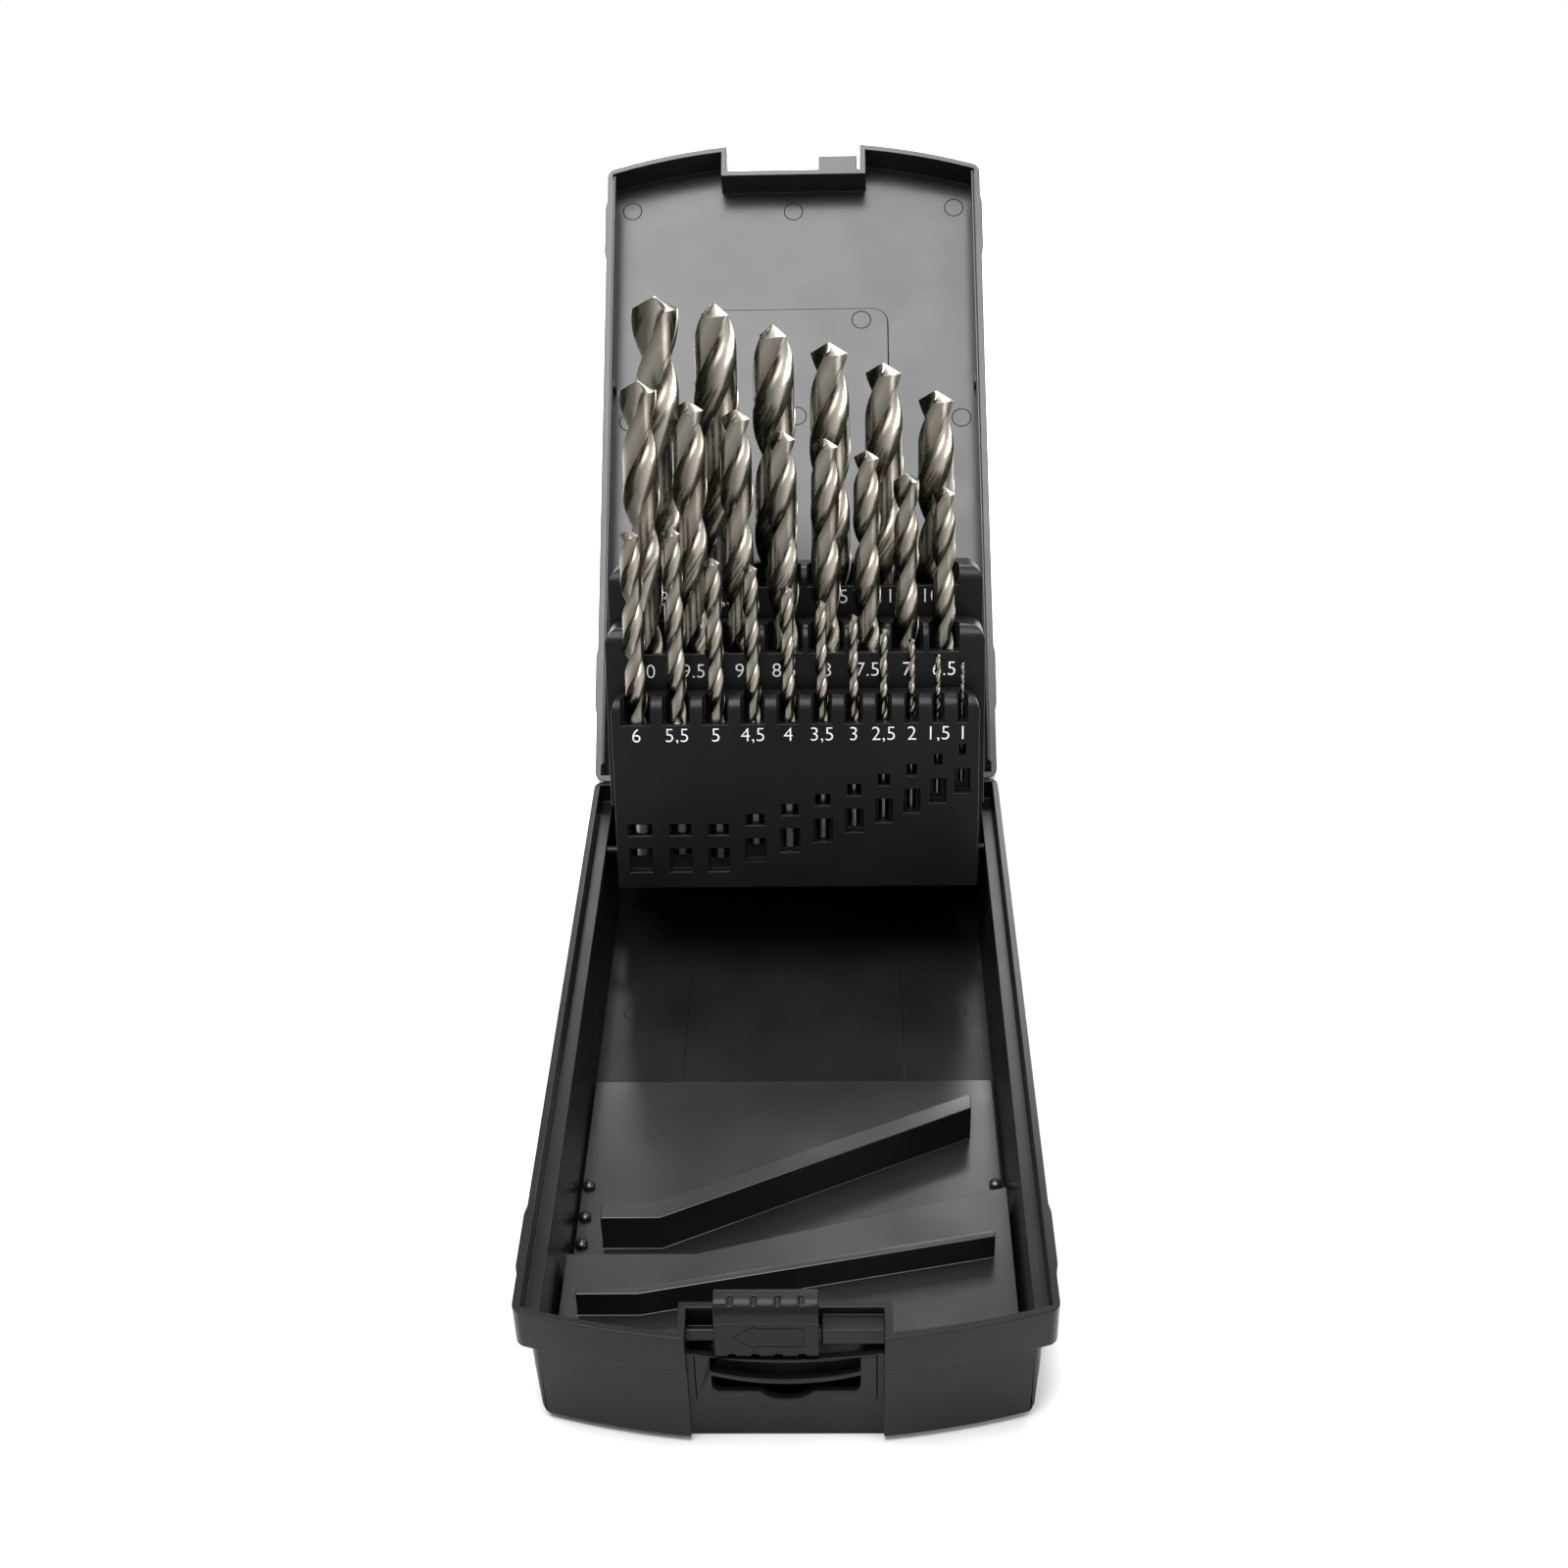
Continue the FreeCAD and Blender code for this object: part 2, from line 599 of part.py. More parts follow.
def tray_bumps():
    """Two grip bumps on the rim band, near the front."""
    y = front_at(half_width) + dim.bump_length
    bumps = []
    for side in (-1, 1):
        bumps.append(grip_bump("tray_bump_%d" % len(bumps), side, y, band_foot, dim.base_height))
    return bumps


def front_cuts():
    """Recess round the slotted part, open notch, hollow behind the panel, the panel's smile and its slots."""
    half = dim.notch_half
    front = -half_length - dim.overrun
    face = dim.panel_face - half_length
    pad = face - dim.panel_pad
    back = face + dim.panel_wall
    rail = dim.rail_front - half_length
    rail_back = rail + dim.rail_lip_thickness
    rail_top = dim.rail_foot + dim.rail_plate
    high = dim.base_height + dim.overrun
    smile = [(-half, dim.panel_top, dim.smile), (half, dim.panel_top),
             (half, dim.rail_foot), (-half, dim.rail_foot)]
    wide = dim.panel_pad_half
    block = box("pad_block", -wide, wide, pad, face + dim.overrun, dim.panel_pad_foot, high + dim.overrun)
    block = rounded("pad_rounded", block, lambda edge: lies_at(edge, dim.panel_pad_foot)
                    and edge.BoundBox.XLength < 1e-6, dim.panel_pad_corner)
    recess = box("recess_block", -half, half, front, face, -dim.overrun, high)
    cuts = [
        cut("recess", recess, [block]),
        box("panel_hollow", -half, half, back, notch_back, dim.floor_thickness, dim.rail_foot),
        box("before_rail", -half, half, front, rail, dim.panel_top, high),
        box("over_lip", -half, half, front, notch_back, rail_top + dim.rail_lip, high),
        box("behind_lip", -half, half, rail_back, notch_back, rail_top, high),
        extrude("panel_smile", [smile], dim.overrun + back - pad, "xz", back + dim.overrun / 8),
    ]
    return cuts + handle_slots(pad, back)


def handle_slots(pad, back):
    """Two slots with a curved bar between them, the lower one with a hollow for the thumb."""
    wide = dim.slot_half
    top = dim.panel_top - dim.slot_strip
    foot = top - dim.upper_slot_height
    depth = back - pad + dim.overrun
    start = back + dim.overrun / 2
    upper = [(-wide, foot, dim.slot_dip), (wide, foot), (wide, top, -dim.smile), (-wide, top)]
    lower_top = foot - dim.slot_bar
    lower_foot = lower_top - dim.lower_slot_height
    thumb = dim.thumb_half
    curve = dim.lower_slot_round
    lower = [(curve - wide, lower_foot), (-thumb, lower_foot, dim.thumb_drop), (thumb, lower_foot),
             (wide - curve, lower_foot, quarter(curve)), (wide, lower_foot + curve),
             (wide, lower_top, -dim.slot_dip), (-wide, lower_top), (-wide, lower_foot + curve, quarter(curve))]
    return [extrude("upper_slot", [upper], depth, "xz", start),
            extrude("lower_slot", [lower], depth, "xz", start)]


def pin_grooves():
    """Grooves in the side walls, along which the rack pins slide."""
    radius = dim.pin_radius + dim.groove_gap
    inside = half_width - dim.band_step - dim.wall
    tools = []
    for side in (-1, 1):
        face = inside + dim.groove_depth if side > 0 else -(inside - dim.overrun)
        x0 = face - dim.groove_depth - dim.overrun
        x1 = face
        tag = "left" if side < 0 else "right"
        back = pin_y
        fore = pin_y - dim.pin_travel
        tools.append(box("groove_" + tag, x0, x1, fore, back, dim.pin_height - radius, dim.pin_height + radius))
        for end in (fore, back):
            name = "groove_end_%s_%d" % (tag, len(tools))
            tools.append(rod(name, radius, dim.groove_depth + dim.overrun, x0, end, dim.pin_height, "x"))
    return tools


def knuckle_room(name, lid_side, y, z, opens_up):
    """Room round the knuckles of one side: an open pocket in the other side's rear wall."""
    radius = dim.knuckle_radius + dim.knuckle_gap
    rooms = []
    for x0, x1 in knuckle_spans(lid_side, dim.knuckle_gap):
        low = z - radius if opens_up else z - dim.overrun * 2
        high = z + dim.overrun * 2 if opens_up else z + radius
        rooms.append(box(name + "_%d" % len(rooms), x0, x1, y - radius, y + radius, low, high))
    return rooms


def hinge_bores(name, y, z):
    """Bores through all knuckles of both hinges."""
    sides = SIDES["peg"]
    radius = (dim.hinge_pin_radius + dim.hinge_pin_gap) * spread(sides)
    bores = []
    for start, length in hinge_spans(dim.overrun):
        bores.append(prism(name + "_%d" % len(bores), sides, radius, length, start, y, z, "x"))
    return bores


def hinge_spans(extra):
    """Left end and length of what runs through each hinge."""
    length = dim.knuckle_length * 3 + dim.knuckle_gap * 2 + extra * 2
    return [(dim.hinge_place * hinge - length / 2, length) for hinge in (-1, 1)]


# Lid, drawn closed in a frame whose X axis is the hinge axis
def lid_shell():
    """Lid with its dust lip, notch, catch tab, side lugs, label panel and knuckles."""
    low = dim.parting_gap
    top = dim.lid_depth
    outline = shifted(plan(ZERO, ZERO, ZERO, ZERO))
    outer = extrude("lid_body", [outline], top - low, offset=low)
    outer = rounded("lid_corners", outer, is_upright, dim.plan_radius)
    outer = beveled("lid_edges", outer, lambda edge: lies_at(edge, top), dim.top_bevel)
    hollow_outline = shifted(plan(dim.rim_wall, dim.rim_wall, dim.rim_wall, dim.wall, True, dim.rim_wall))
    hollow = extrude("lid_hollow", [hollow_outline], top - dim.wall + dim.overrun, offset=-dim.overrun)
    front = -dim.case_length
    back = dim.notch_depth - dim.case_length
    half = dim.notch_half
    notch = box("lid_notch", -half, half, front - dim.overrun, back, -dim.overrun, top + dim.overrun)
    tray_room = knuckle_room("tray_knuckle_room", False, ZERO, ZERO, False)
    panel_far = -dim.lid_panel_reach
    label = relief_panel("lid_label", panel_far, panel_far + dim.panel_length, top - dim.panel_relief,
                         top + dim.overrun)
    shell = cut("lid_hollowed", outer, [hollow, notch, label] + tray_room)
    inside = relief_panel("lid_panel", panel_far, panel_far + dim.panel_length,
                          top - dim.wall - dim.panel_relief, top - dim.wall)
    barrels = knuckles("lid_knuckle", True, ZERO, ZERO)
    whole = fuse("lid_whole", [shell, inside, dust_lip(low)] + catch_tab(back, low) + side_lugs() + lid_bumps()
                 + barrels)
    lid = cut("lid_solid", whole, hinge_bores("lid_bore", ZERO, ZERO))
    turn_back(lid, dim.lid_angle, half_length, dim.base_height)
    return piece("lid_shell", lid)


def shifted(loop):
    """An outline moved so that the hinge axis is at zero."""
    return [(corner[0], corner[1] - half_length) + tuple(corner[2:]) for corner in loop]


def turn_back(obj, angle, y, z, x=ZERO):
    """Tilt a piece back about the X axis and set it on its pin."""
    obj.Placement = FreeCAD.Placement(
        FreeCAD.Vector(x.value, y.value, z.value), FreeCAD.Rotation(FreeCAD.Vector(1, 0, 0), -angle.value))
    bind(obj, ".Placement.Rotation.Angle", angle)
    obj.Placement.Rotation.Axis = FreeCAD.Vector(-1, 0, 0)
    bind(obj, ".Placement.Base.x", x)
    bind(obj, ".Placement.Base.y", y)
    bind(obj, ".Placement.Base.z", z)


def dust_lip(low):
    """Two thin lips along the sides, which reach into the tray's mouth."""
    outer = half_width - dim.rim_wall - dim.parting_gap
    inner = outer - dim.lip_thickness
    back = -(dim.wall + dim.plan_radius)
    fore = front_at(half_width) - half_length + dim.plan_radius
    top = low + dim.lip_height
    lips = [box("lip_right", inner, outer, fore, back, -dim.lip_height, top),
            box("lip_left", -outer, -inner, fore, back, -dim.lip_height, top)]
    ties = [box("lip_tie_right", inner, outer + dim.rim_wall, fore, back, low, top),
            box("lip_tie_left", -outer - dim.rim_wall, -inner, fore, back, low, top)]
    return fuse("dust_lips", lips + ties)


def catch_tab(back, low):
    """Tab on the notch wall with an upturned lip, for the hook of the latch."""
    x0 = dim.tab_left
    x1 = dim.tab_left + dim.tab_width
    tip = back - dim.tab_reach
    leg_top = low + dim.tab_thickness
    return [box("tab_leg", x0, x1, tip, back + dim.rim_wall, low, leg_top),
            box("tab_upright", x0, x1, tip, tip + dim.tab_lip, low, leg_top + dim.tab_rise)]


def side_lugs():
    """A small lug inside each side wall of the lid."""
    inside = half_width - dim.rim_wall
    y = -dim.lug_place
    z0 = dim.lid_depth - dim.wall - dim.lug_height
    z1 = dim.lid_depth - dim.wall
    return [box("lug_right", inside - dim.lug_proud, inside + dim.rim_wall / 2, y, y + dim.lug_length, z0, z1),
            box("lug_left", -inside - dim.rim_wall / 2, dim.lug_proud - inside, y, y + dim.lug_length, z0, z1)]


def lid_bumps():
    """Grip bumps on the lid's sides, near the front and near the hinge."""
    fore = front_at(half_width) - half_length + dim.bump_length
    bumps = []
    for y in (fore, -dim.bump_length * 1.5):
        for side in (-1, 1):
            name = "lid_bump_%d" % len(bumps)
            bumps.append(grip_bump(name, side, y, dim.parting_gap, dim.lid_depth - dim.top_bevel))
    return bumps


# Sliding latch
def slide_latch():
    """Latch plate with its grip roll above and the hooks that run on the rail."""
    face = dim.latch_face - half_length
    inner = face + dim.latch_plate
    gap = dim.latch_gap
    thick = dim.hook_thickness
    lip_top = dim.rail_foot + dim.rail_plate + dim.rail_lip
    hook_front = dim.rail_front - half_length + dim.rail_lip_thickness + gap
    hook_back = hook_front + thick
    roof = lip_top + gap
    arm_top = dim.rail_foot - gap
    roll_back = face + dim.roll_depth
    roll_front = face - dim.roll_proud
    roll_foot = dim.latch_top - dim.roll_height
    roll_under = dim.latch_top - dim.roll_roof
    hook_foot = dim.base_height + dim.parting_gap + dim.tab_thickness + gap
    back_round = dim.roll_back_radius
    round_front = dim.roll_radius
    section = [
        (face, dim.latch_foot), (hook_back, dim.latch_foot), (hook_back, arm_top), (inner, arm_top),
        (inner, roll_under), (roll_back - dim.roll_lip, roll_under),
        (roll_back - dim.roll_lip, hook_foot), (roll_back, hook_foot),
        (roll_back, dim.latch_top - back_round, quarter(back_round)), (roll_back - back_round, dim.latch_top),
        (roll_front + round_front, dim.latch_top, quarter(round_front)),
        (roll_front, dim.latch_top - round_front), (roll_front, roll_foot + dim.roll_proud),
        (face, roll_foot),
    ]
    hook = [
        (face + gap, roof), (hook_front, roof), (hook_front, lip_top - dim.hook_reach),
        (hook_back, lip_top - dim.hook_reach), (hook_back, roof + thick), (face + gap, roof + thick),
    ]
    left = -dim.latch_left
    body = fuse("latch_body", [extrude("latch_bar", [section], dim.latch_width, "yz", left),
                               extrude("latch_hook", [hook], dim.hook_width, "yz", left)])
    middle = left + dim.latch_width / 2
    tools = []
    for index in range(4):
        x = middle + dim.grip_pitch * (index - 1.5)
        tools.append(prism("grip_%d" % index, SIDES["grip"], dim.grip_radius, dim.grip_length + dim.overrun,
                           x, roll_front - dim.overrun, dim.latch_top + dim.grip_radius / 8, "y"))
        tools.append(box("foot_notch_%d" % index, x - dim.grip_radius, x + dim.grip_radius,
                         face - dim.overrun, inner, dim.latch_foot - dim.overrun,
                         dim.latch_foot + dim.grip_radius * 0.75))
    return piece("slide_latch", cut("slide_latch_solid", body, tools))


# Drill stop insert and its pegs
def kinked(end, kink, left, right, depth):
    """Outline of a kinked rib: level on the left, slanting back on the right."""
    slant_back = depth / 4
    return [(-end, -left), (-kink, -left), (end, -right), (end, depth - right),
            (-kink - slant_back, depth - left), (-end, depth - left)]


def drill_stop_insert():
    """Plate with a raised shelf and two kinked ribs, where the drill tips stop when the case is shut."""
    side = half_width - dim.band_step - dim.wall - dim.insert_gap
    floor = dim.floor_thickness
    thick = dim.plate_thickness
    edge = [(-side, -dim.shelf_left), (-dim.shelf_kink, -dim.shelf_left), (side, -dim.shelf_right)]
    plate = extrude("insert_plate", [edge + [(side, dim.insert_back), (-side, dim.insert_back)]],
                    thick, offset=floor)
    front = -dim.insert_front
    shelf = extrude("insert_shelf", [[(-side, front), (side, front)] + edge[::-1]],
                    dim.shelf_height - floor, offset=floor)
    hollow_edge = [(-side + thick, -dim.shelf_left - thick), (-dim.shelf_kink, -dim.shelf_left - thick),
                   (side - thick, -dim.shelf_right - thick * 1.4)]
    under = extrude("insert_under", [[(-side + thick, front + thick), (side - thick, front + thick)]
                                     + hollow_edge[::-1]],
                    dim.shelf_height - floor - thick + dim.overrun, offset=floor - dim.overrun)
    rib1 = extrude("insert_rib1", [kinked(dim.rib1_end, dim.rib1_kink, dim.rib1_left, dim.rib1_right,
                                          dim.rib1_depth)], dim.rib1_top - floor, offset=floor)
    rib2 = extrude("insert_rib2", [kinked(dim.rib2_end, dim.rib2_kink, dim.rib2_left, dim.rib2_right,
                                          dim.rib2_depth)],
                   dim.rib2_top - dim.shelf_height + thick, offset=dim.shelf_height - thick)
    solid = fuse("insert_solid", [cut("insert_shelf_shell", shelf, [under]), plate, rib1, rib2])
    holes = []
    for x, y in peg_places():
        holes.append(prism("peg_hole_%d" % len(holes), SIDES["peg"], dim.peg_radius + dim.peg_gap,
                           thick + dim.overrun * 2, x, y, floor - dim.overrun))
    return piece("drill_stop_insert", cut("insert_drilled", solid, holes))


def peg_places():
    """Three pegs along the left edge of the plate and one on the right."""
    return ((-dim.peg_place, -dim.peg_first), (-dim.peg_place, -dim.peg_second),
            (-dim.peg_place, -dim.peg_third), (dim.peg_place, -dim.peg_first))


def insert_pegs():
    """Mushroom pegs that hold the insert down on the floor."""
    parts = []
    head_foot = dim.floor_thickness + dim.plate_thickness
    for index, (x, y) in enumerate(peg_places()):
        shaft = prism("peg_shaft_%d" % index, SIDES["peg"], dim.peg_radius, dim.plate_thickness, x, y,
                      dim.floor_thickness)
        head = prism("peg_head_%d" % index, SIDES["peg_head"], dim.peg_head, dim.peg_rise, x, y, head_foot)
        parts.append(fuse("peg_%d" % index, [shaft, head]))
    group = doc.addObject("Part::Compound", "insert_pegs_group")
    group.Links = parts
    return piece("insert_pegs", group)


# Racks, drawn upright in a frame whose X axis is the pin axis; in front of the pin is -Y
def rack_size(rack, field):
    """One named size of a rack."""
    return sizes["rack_" + rack + "_" + field]


def bores_of(rack):
    """Where each drill of a rack stands: name, X of its axis."""
    places = []
    x = rack_size(rack, "first")
    before = None
    for owner, diameter, *rest in DRILLS:
        if owner != rack:
            continue
        name = drill_name(diameter)
        width = sizes[name + "_diameter"]
        if before is not None:
            x = x + (before + width) / 2 + rack_size(rack, "web")
        places.append((name, x))
        before = width
    return places


def cheek_span(rack):
    """Inner and outer face of a rack's side cheek, from the middle."""
    if rack == "medium":
        return dim.pin_inner + dim.cheek, dim.cheek_core
    inner = dim.cheek_core + dim.cheek_gap
    if rack == "large":
        inner = inner + dim.cheek + dim.cheek_gap
    return inner, inner + dim.cheek


def rack_body(rack):
    """Block of a rack: its front view with round top corners, shared with its side view."""
    half = rack_size(rack, "half")
    front = -(rack_size(rack, "offset") + rack_size(rack, "thickness") / 2)
    back = -(rack_size(rack, "offset") - rack_size(rack, "thickness") / 2)
    foot = rack_size(rack, "foot")
    top = rack_size(rack, "top")
    corner = dim.side_round
    front_view = [(-half, foot), (half, foot), (half, top - corner, quarter(corner)), (half - corner, top),
                  (corner - half, top, quarter(corner)), (-half, top - corner)]
    edge = dim.top_round
    side_view = [(front, foot), (back, foot), (back, top), (front + edge, top, quarter(edge)),
                 (front, top - edge)]
    bars = [extrude("rack_front_" + rack, [front_view], back - front, "xz", back),
            extrude("rack_side_" + rack, [side_view], half * 2, "yz", -half)]
    return common("rack_block_" + rack, bars), front, back


def cheeks(rack, front, back):
    """Side cheeks that reach from the block to an eye round the pin."""
    inner, outer = cheek_span(rack)
    foot = rack_size(rack, "foot")
    near = back if rack != "large" else front
    eye = dim.eye_radius
    rise = dim.cheek_rise
    deep = (back - front) / 4
    inward = near - deep if rack != "large" else near + deep
    parts = []
    for side in (-1, 1):
        start = inner if side > 0 else -outer
        tag = "%s_%d" % (rack, side + 1)
        flank = [(inward, foot), (ZERO, -eye), (ZERO, eye), (near, rise), (inward, rise)]
        if rack == "large":
            flank = flank[::-1]
        parts.append(extrude("cheek_" + tag, [flank], outer - inner, "yz", start))
        parts.append(rod("eye_" + tag, eye, outer - inner, start, ZERO, ZERO, "x"))
    return parts


def holder(rack):
    """One rack: block, cheeks, bores, notches and windows."""
    block, front, back = rack_body(rack)
    core = [block]
    if rack == "medium":
        core = [waisted(block, front, back)]
    solid = fuse("rack_solid_" + rack, core + cheeks(rack, front, back))
    tools = []
    axis = -rack_size(rack, "offset")
    top = rack_size(rack, "top")
    for index, (name, x) in enumerate(bores_of(rack)):
        width = sizes[name + "_diameter"]
        radius = (width / 2 + dim.bore_gap) * spread(SIDES[rack])
        seat = sizes[name + "_seat"]
        tools.append(prism("bore_" + name, SIDES[rack], radius, top - seat + dim.overrun, x, axis, seat))
        side = radius + dim.notch_margin
        tools.append(box("notch_" + name, x - side, x + side, front - dim.overrun, axis,
                         rack_size(rack, "notch"), top + dim.overrun))
        if rack != "small":
            continue
        side = width / 2 + dim.window_margin
        high = dim.window_top + dim.window_rise * max(0, index - 2)
        tools.append(box("upper_window_" + name, x - side, x + side, front - dim.overrun, axis - radius / 2,
                         high - dim.window_upper_height, high))
        side = (dim.window_lower_width + width * WINDOW_WIDTH_share) / 2
        high = high - dim.window_drop
        tools.append(box("lower_window_" + name, x - side, x + side, front - dim.overrun, axis - radius / 2,
                         high - dim.window_lower_height, high))
    if rack == "large":
        tools = tools + eye_room()
    inner, outer = cheek_span(rack)
    radius = (dim.pin_radius + dim.pin_gap) * spread(SIDES["peg"])
    for side in (-1, 1):
        start = inner - dim.overrun if side > 0 else -outer - dim.overrun
        tools.append(prism("rack_bore_%s_%d" % (rack, side + 1), SIDES["peg"], radius,
                           outer - inner + dim.overrun * 2, start, ZERO, ZERO, "x"))
    rack_solid = cut("holder_solid_" + rack, solid, tools)
    turn_back(rack_solid, rack_size(rack, "lean"), pin_y, dim.pin_height, dim.rack_shift)
    return piece("holder_" + rack, rack_solid)


def eye_room():
    """Room in the front of the large rack for the other racks' eyes."""
    radius = dim.eye_radius + dim.cheek_gap
    inner = dim.pin_inner - dim.cheek_gap
    outer = dim.cheek_core + dim.cheek_gap * 1.5 + dim.cheek
    rods = [rod("eye_room_right", radius, outer - inner, inner, ZERO, ZERO, "x"),
            rod("eye_room_left", radius, outer - inner, -outer, ZERO, ZERO, "x")]
    return rods


def waisted(block, front, back):
    """The middle rack is narrower beside the pin, where the other racks' cheeks run."""
    half = rack_size("medium", "half")
    foot = rack_size("medium", "foot")
    rise = dim.cheek_rise + dim.cheek_rise / 4
    slabs = []
    for side in (-1, 1):
        x0 = dim.cheek_core if side > 0 else -half - dim.overrun
        x1 = half + dim.overrun if side > 0 else -dim.cheek_core
        slabs.append(box("waist_%d" % (side + 1), x0, x1, front - dim.overrun, back + dim.overrun,
                         foot - dim.overrun, rise))
    return cut("rack_waisted", block, slabs)


def rack_pins():
    """The two pins on which the racks turn; their outer ends run in the grooves."""
    inside = half_width - dim.band_step - dim.wall
    end = inside + dim.groove_depth - dim.groove_gap
    right = dim.rack_shift + dim.pin_inner
    left = dim.rack_shift - dim.pin_inner
    pins = [rod("rack_pin_right", dim.pin_radius, end - right, right, pin_y, dim.pin_height, "x"),
            rod("rack_pin_left", dim.pin_radius, end + left, -end, pin_y, dim.pin_height, "x")]
    group = doc.addObject("Part::Compound", "rack_pins_group")
    group.Links = pins
    return piece("rack_pins", group)


def hinge_pins():
    """The two pins of the lid's hinges."""
    pins = []
    for start, length in hinge_spans(ZERO):
        pins.append(prism("hinge_pin_%d" % len(pins), SIDES["hinge_pin"], dim.hinge_pin_radius, length, start,
                          half_length, dim.base_height, "x"))
    group = doc.addObject("Part::Compound", "hinge_pins_group")
    group.Links = pins
    return piece("hinge_pins", group)


# Twist drills
def fluted_solid(radius, start, end, point, foot):
    """Twisted two-fluted body with a pointed tip, as flat triangles, above its foot.

    Its radius is that of the flats of the shank.
    """
    turn = TURN_share * radius * 2
    steps = min(MOST_STEPS, round((end - point - start) / turn * STEPS_PER_TURN))
    rings = []
    for step in range(steps + 1):
        height = start + (end - point - start) * step / steps
        twist = 2 * math.pi * (end - point - height) / turn
        ring = []
        for half_turn in (0, 1):
            for angle_share, radius_share in zip(FLUTE_ANGLE_shares, FLUTE_RADIUS_shares):
                angle = math.pi * (half_turn + angle_share) - twist
                reach = radius * radius_share
                ring.append(foot + FreeCAD.Vector(reach * math.cos(angle), reach * math.sin(angle), height))
        rings.append(ring)
    corners = len(rings[0])
    tip = foot + FreeCAD.Vector(0, 0, end)
    tail = foot + FreeCAD.Vector(0, 0, start)
    faces = []
    for lower, upper in zip(rings, rings[1:]):
        for index in range(corners):
            after = (index + 1) % corners
            faces.append(triangle(lower[index], lower[after], upper[after]))
            faces.append(triangle(lower[index], upper[after], upper[index]))
    for index in range(corners):
        after = (index + 1) % corners
        faces.append(triangle(rings[0][after], rings[0][index], tail))
        faces.append(triangle(rings[-1][index], rings[-1][after], tip))
    solid = Part.Solid(Part.Shell(faces))
    return solid if solid.Volume > 0 else solid.reversed()


def triangle(first, second, third):
    """A flat face on three points."""
    return Part.Face(Part.makePolygon([first, second, third, first]))


def twist_drill(rack, name, x):
    """One drill: shank, fluted body and point, standing in its bore."""
    radius = sizes[name + "_diameter"] / 2
    length = sizes[name + "_length"]
    shank_length = length - sizes[name + "_flute"]
    seat = sizes[name + "_seat"]
    axis = -rack_size(rack, "offset")
    shank = prism("shank_" + name, SIDES[rack], radius, shank_length, x, axis, seat)
    foot = FreeCAD.Vector(x.value, axis.value, seat.value)
    flutes = doc.addObject("Part::Feature", "flutes_" + name)
    flutes.Shape = fluted_solid(radius.value / spread(SIDES[rack]), shank_length.value, length.value,
                                radius.value * 2 * POINT_share, foot)
    drill = fuse("twist_" + name, [shank, flutes])
    turn_back(drill, rack_size(rack, "lean"), pin_y, dim.pin_height, dim.rack_shift)
    return piece(name, drill)


base_tray()
lid_shell()
hinge_pins()
slide_latch()
drill_stop_insert()
insert_pegs()
rack_pins()
for rack in RACK_SIZES:
    holder(rack)
for rack in RACK_SIZES:
    for name, x in bores_of(rack):
        twist_drill(rack, name, x)
doc.recompute()

# Nothing is written unless every object and every finished shape is sound
for obj in doc.Objects:
    if "Invalid" in obj.State or "Error" in obj.State:
        raise RuntimeError("object failed: " + obj.Name + " " + str(obj.State))
for shape in finished:
    if shape.Shape.isNull() or not shape.Shape.isValid() or shape.Shape.Volume <= 0:
        raise RuntimeError("bad shape: " + shape.Label)

os.makedirs("parts", exist_ok=True)
for shape in finished:
    shape.Shape.exportStep(os.path.join("parts", shape.Label + ".step"))
    print(shape.Label, len(shape.Shape.Solids), round(shape.Shape.Volume, 1))
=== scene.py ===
"""Looks of the drill bit case: moulded black plastic, ground twist drills and printed sizes.

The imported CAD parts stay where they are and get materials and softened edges.  The drills and the
insert's pegs are built here in their full form, on the CAD parts' axes and lengths.  Lengths are
in metres, and tables in millimetres are scaled by MM.
"""
import json
import math

import bpy
from mathutils import Matrix, Vector


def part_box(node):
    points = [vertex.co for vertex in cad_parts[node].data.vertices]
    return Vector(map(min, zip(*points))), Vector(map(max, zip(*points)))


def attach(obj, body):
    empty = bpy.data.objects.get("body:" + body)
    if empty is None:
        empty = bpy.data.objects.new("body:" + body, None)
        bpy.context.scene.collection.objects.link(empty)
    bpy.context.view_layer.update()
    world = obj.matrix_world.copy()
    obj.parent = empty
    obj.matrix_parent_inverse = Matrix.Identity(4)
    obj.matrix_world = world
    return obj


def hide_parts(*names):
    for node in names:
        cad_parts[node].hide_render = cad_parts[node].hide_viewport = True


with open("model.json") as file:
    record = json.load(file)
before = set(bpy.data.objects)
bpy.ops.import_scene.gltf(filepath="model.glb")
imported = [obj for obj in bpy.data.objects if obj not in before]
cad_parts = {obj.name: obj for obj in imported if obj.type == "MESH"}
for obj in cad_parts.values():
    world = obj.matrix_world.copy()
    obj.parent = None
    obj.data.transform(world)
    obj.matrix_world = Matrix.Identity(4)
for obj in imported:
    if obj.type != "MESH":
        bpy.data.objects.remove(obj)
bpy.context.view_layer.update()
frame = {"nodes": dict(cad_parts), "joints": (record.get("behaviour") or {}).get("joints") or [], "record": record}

MM = 0.001
joints = {joint["name"]: joint for joint in frame["joints"]}
body_of_node = {
    node: body for body, nodes in frame["record"]["behaviour"]["bodies"].items() for node in nodes}

# Racks: drills from left to right as printed, and the height of the print above the pin, mm
RACKS = {
    "small": {"drills": ("6", "5,5", "5", "4,5", "4", "3,5", "3", "2,5", "2", "1,5", "1"), "print_height": 42.0},
    "medium": {"drills": ("10", "9.5", "9", "8.5", "8", "7.5", "7", "6.5"), "print_height": 56.4},
    "large": {"drills": ("13", "12,5", "12", "11,5", "11", "10,5"), "print_height": 74.1},
}
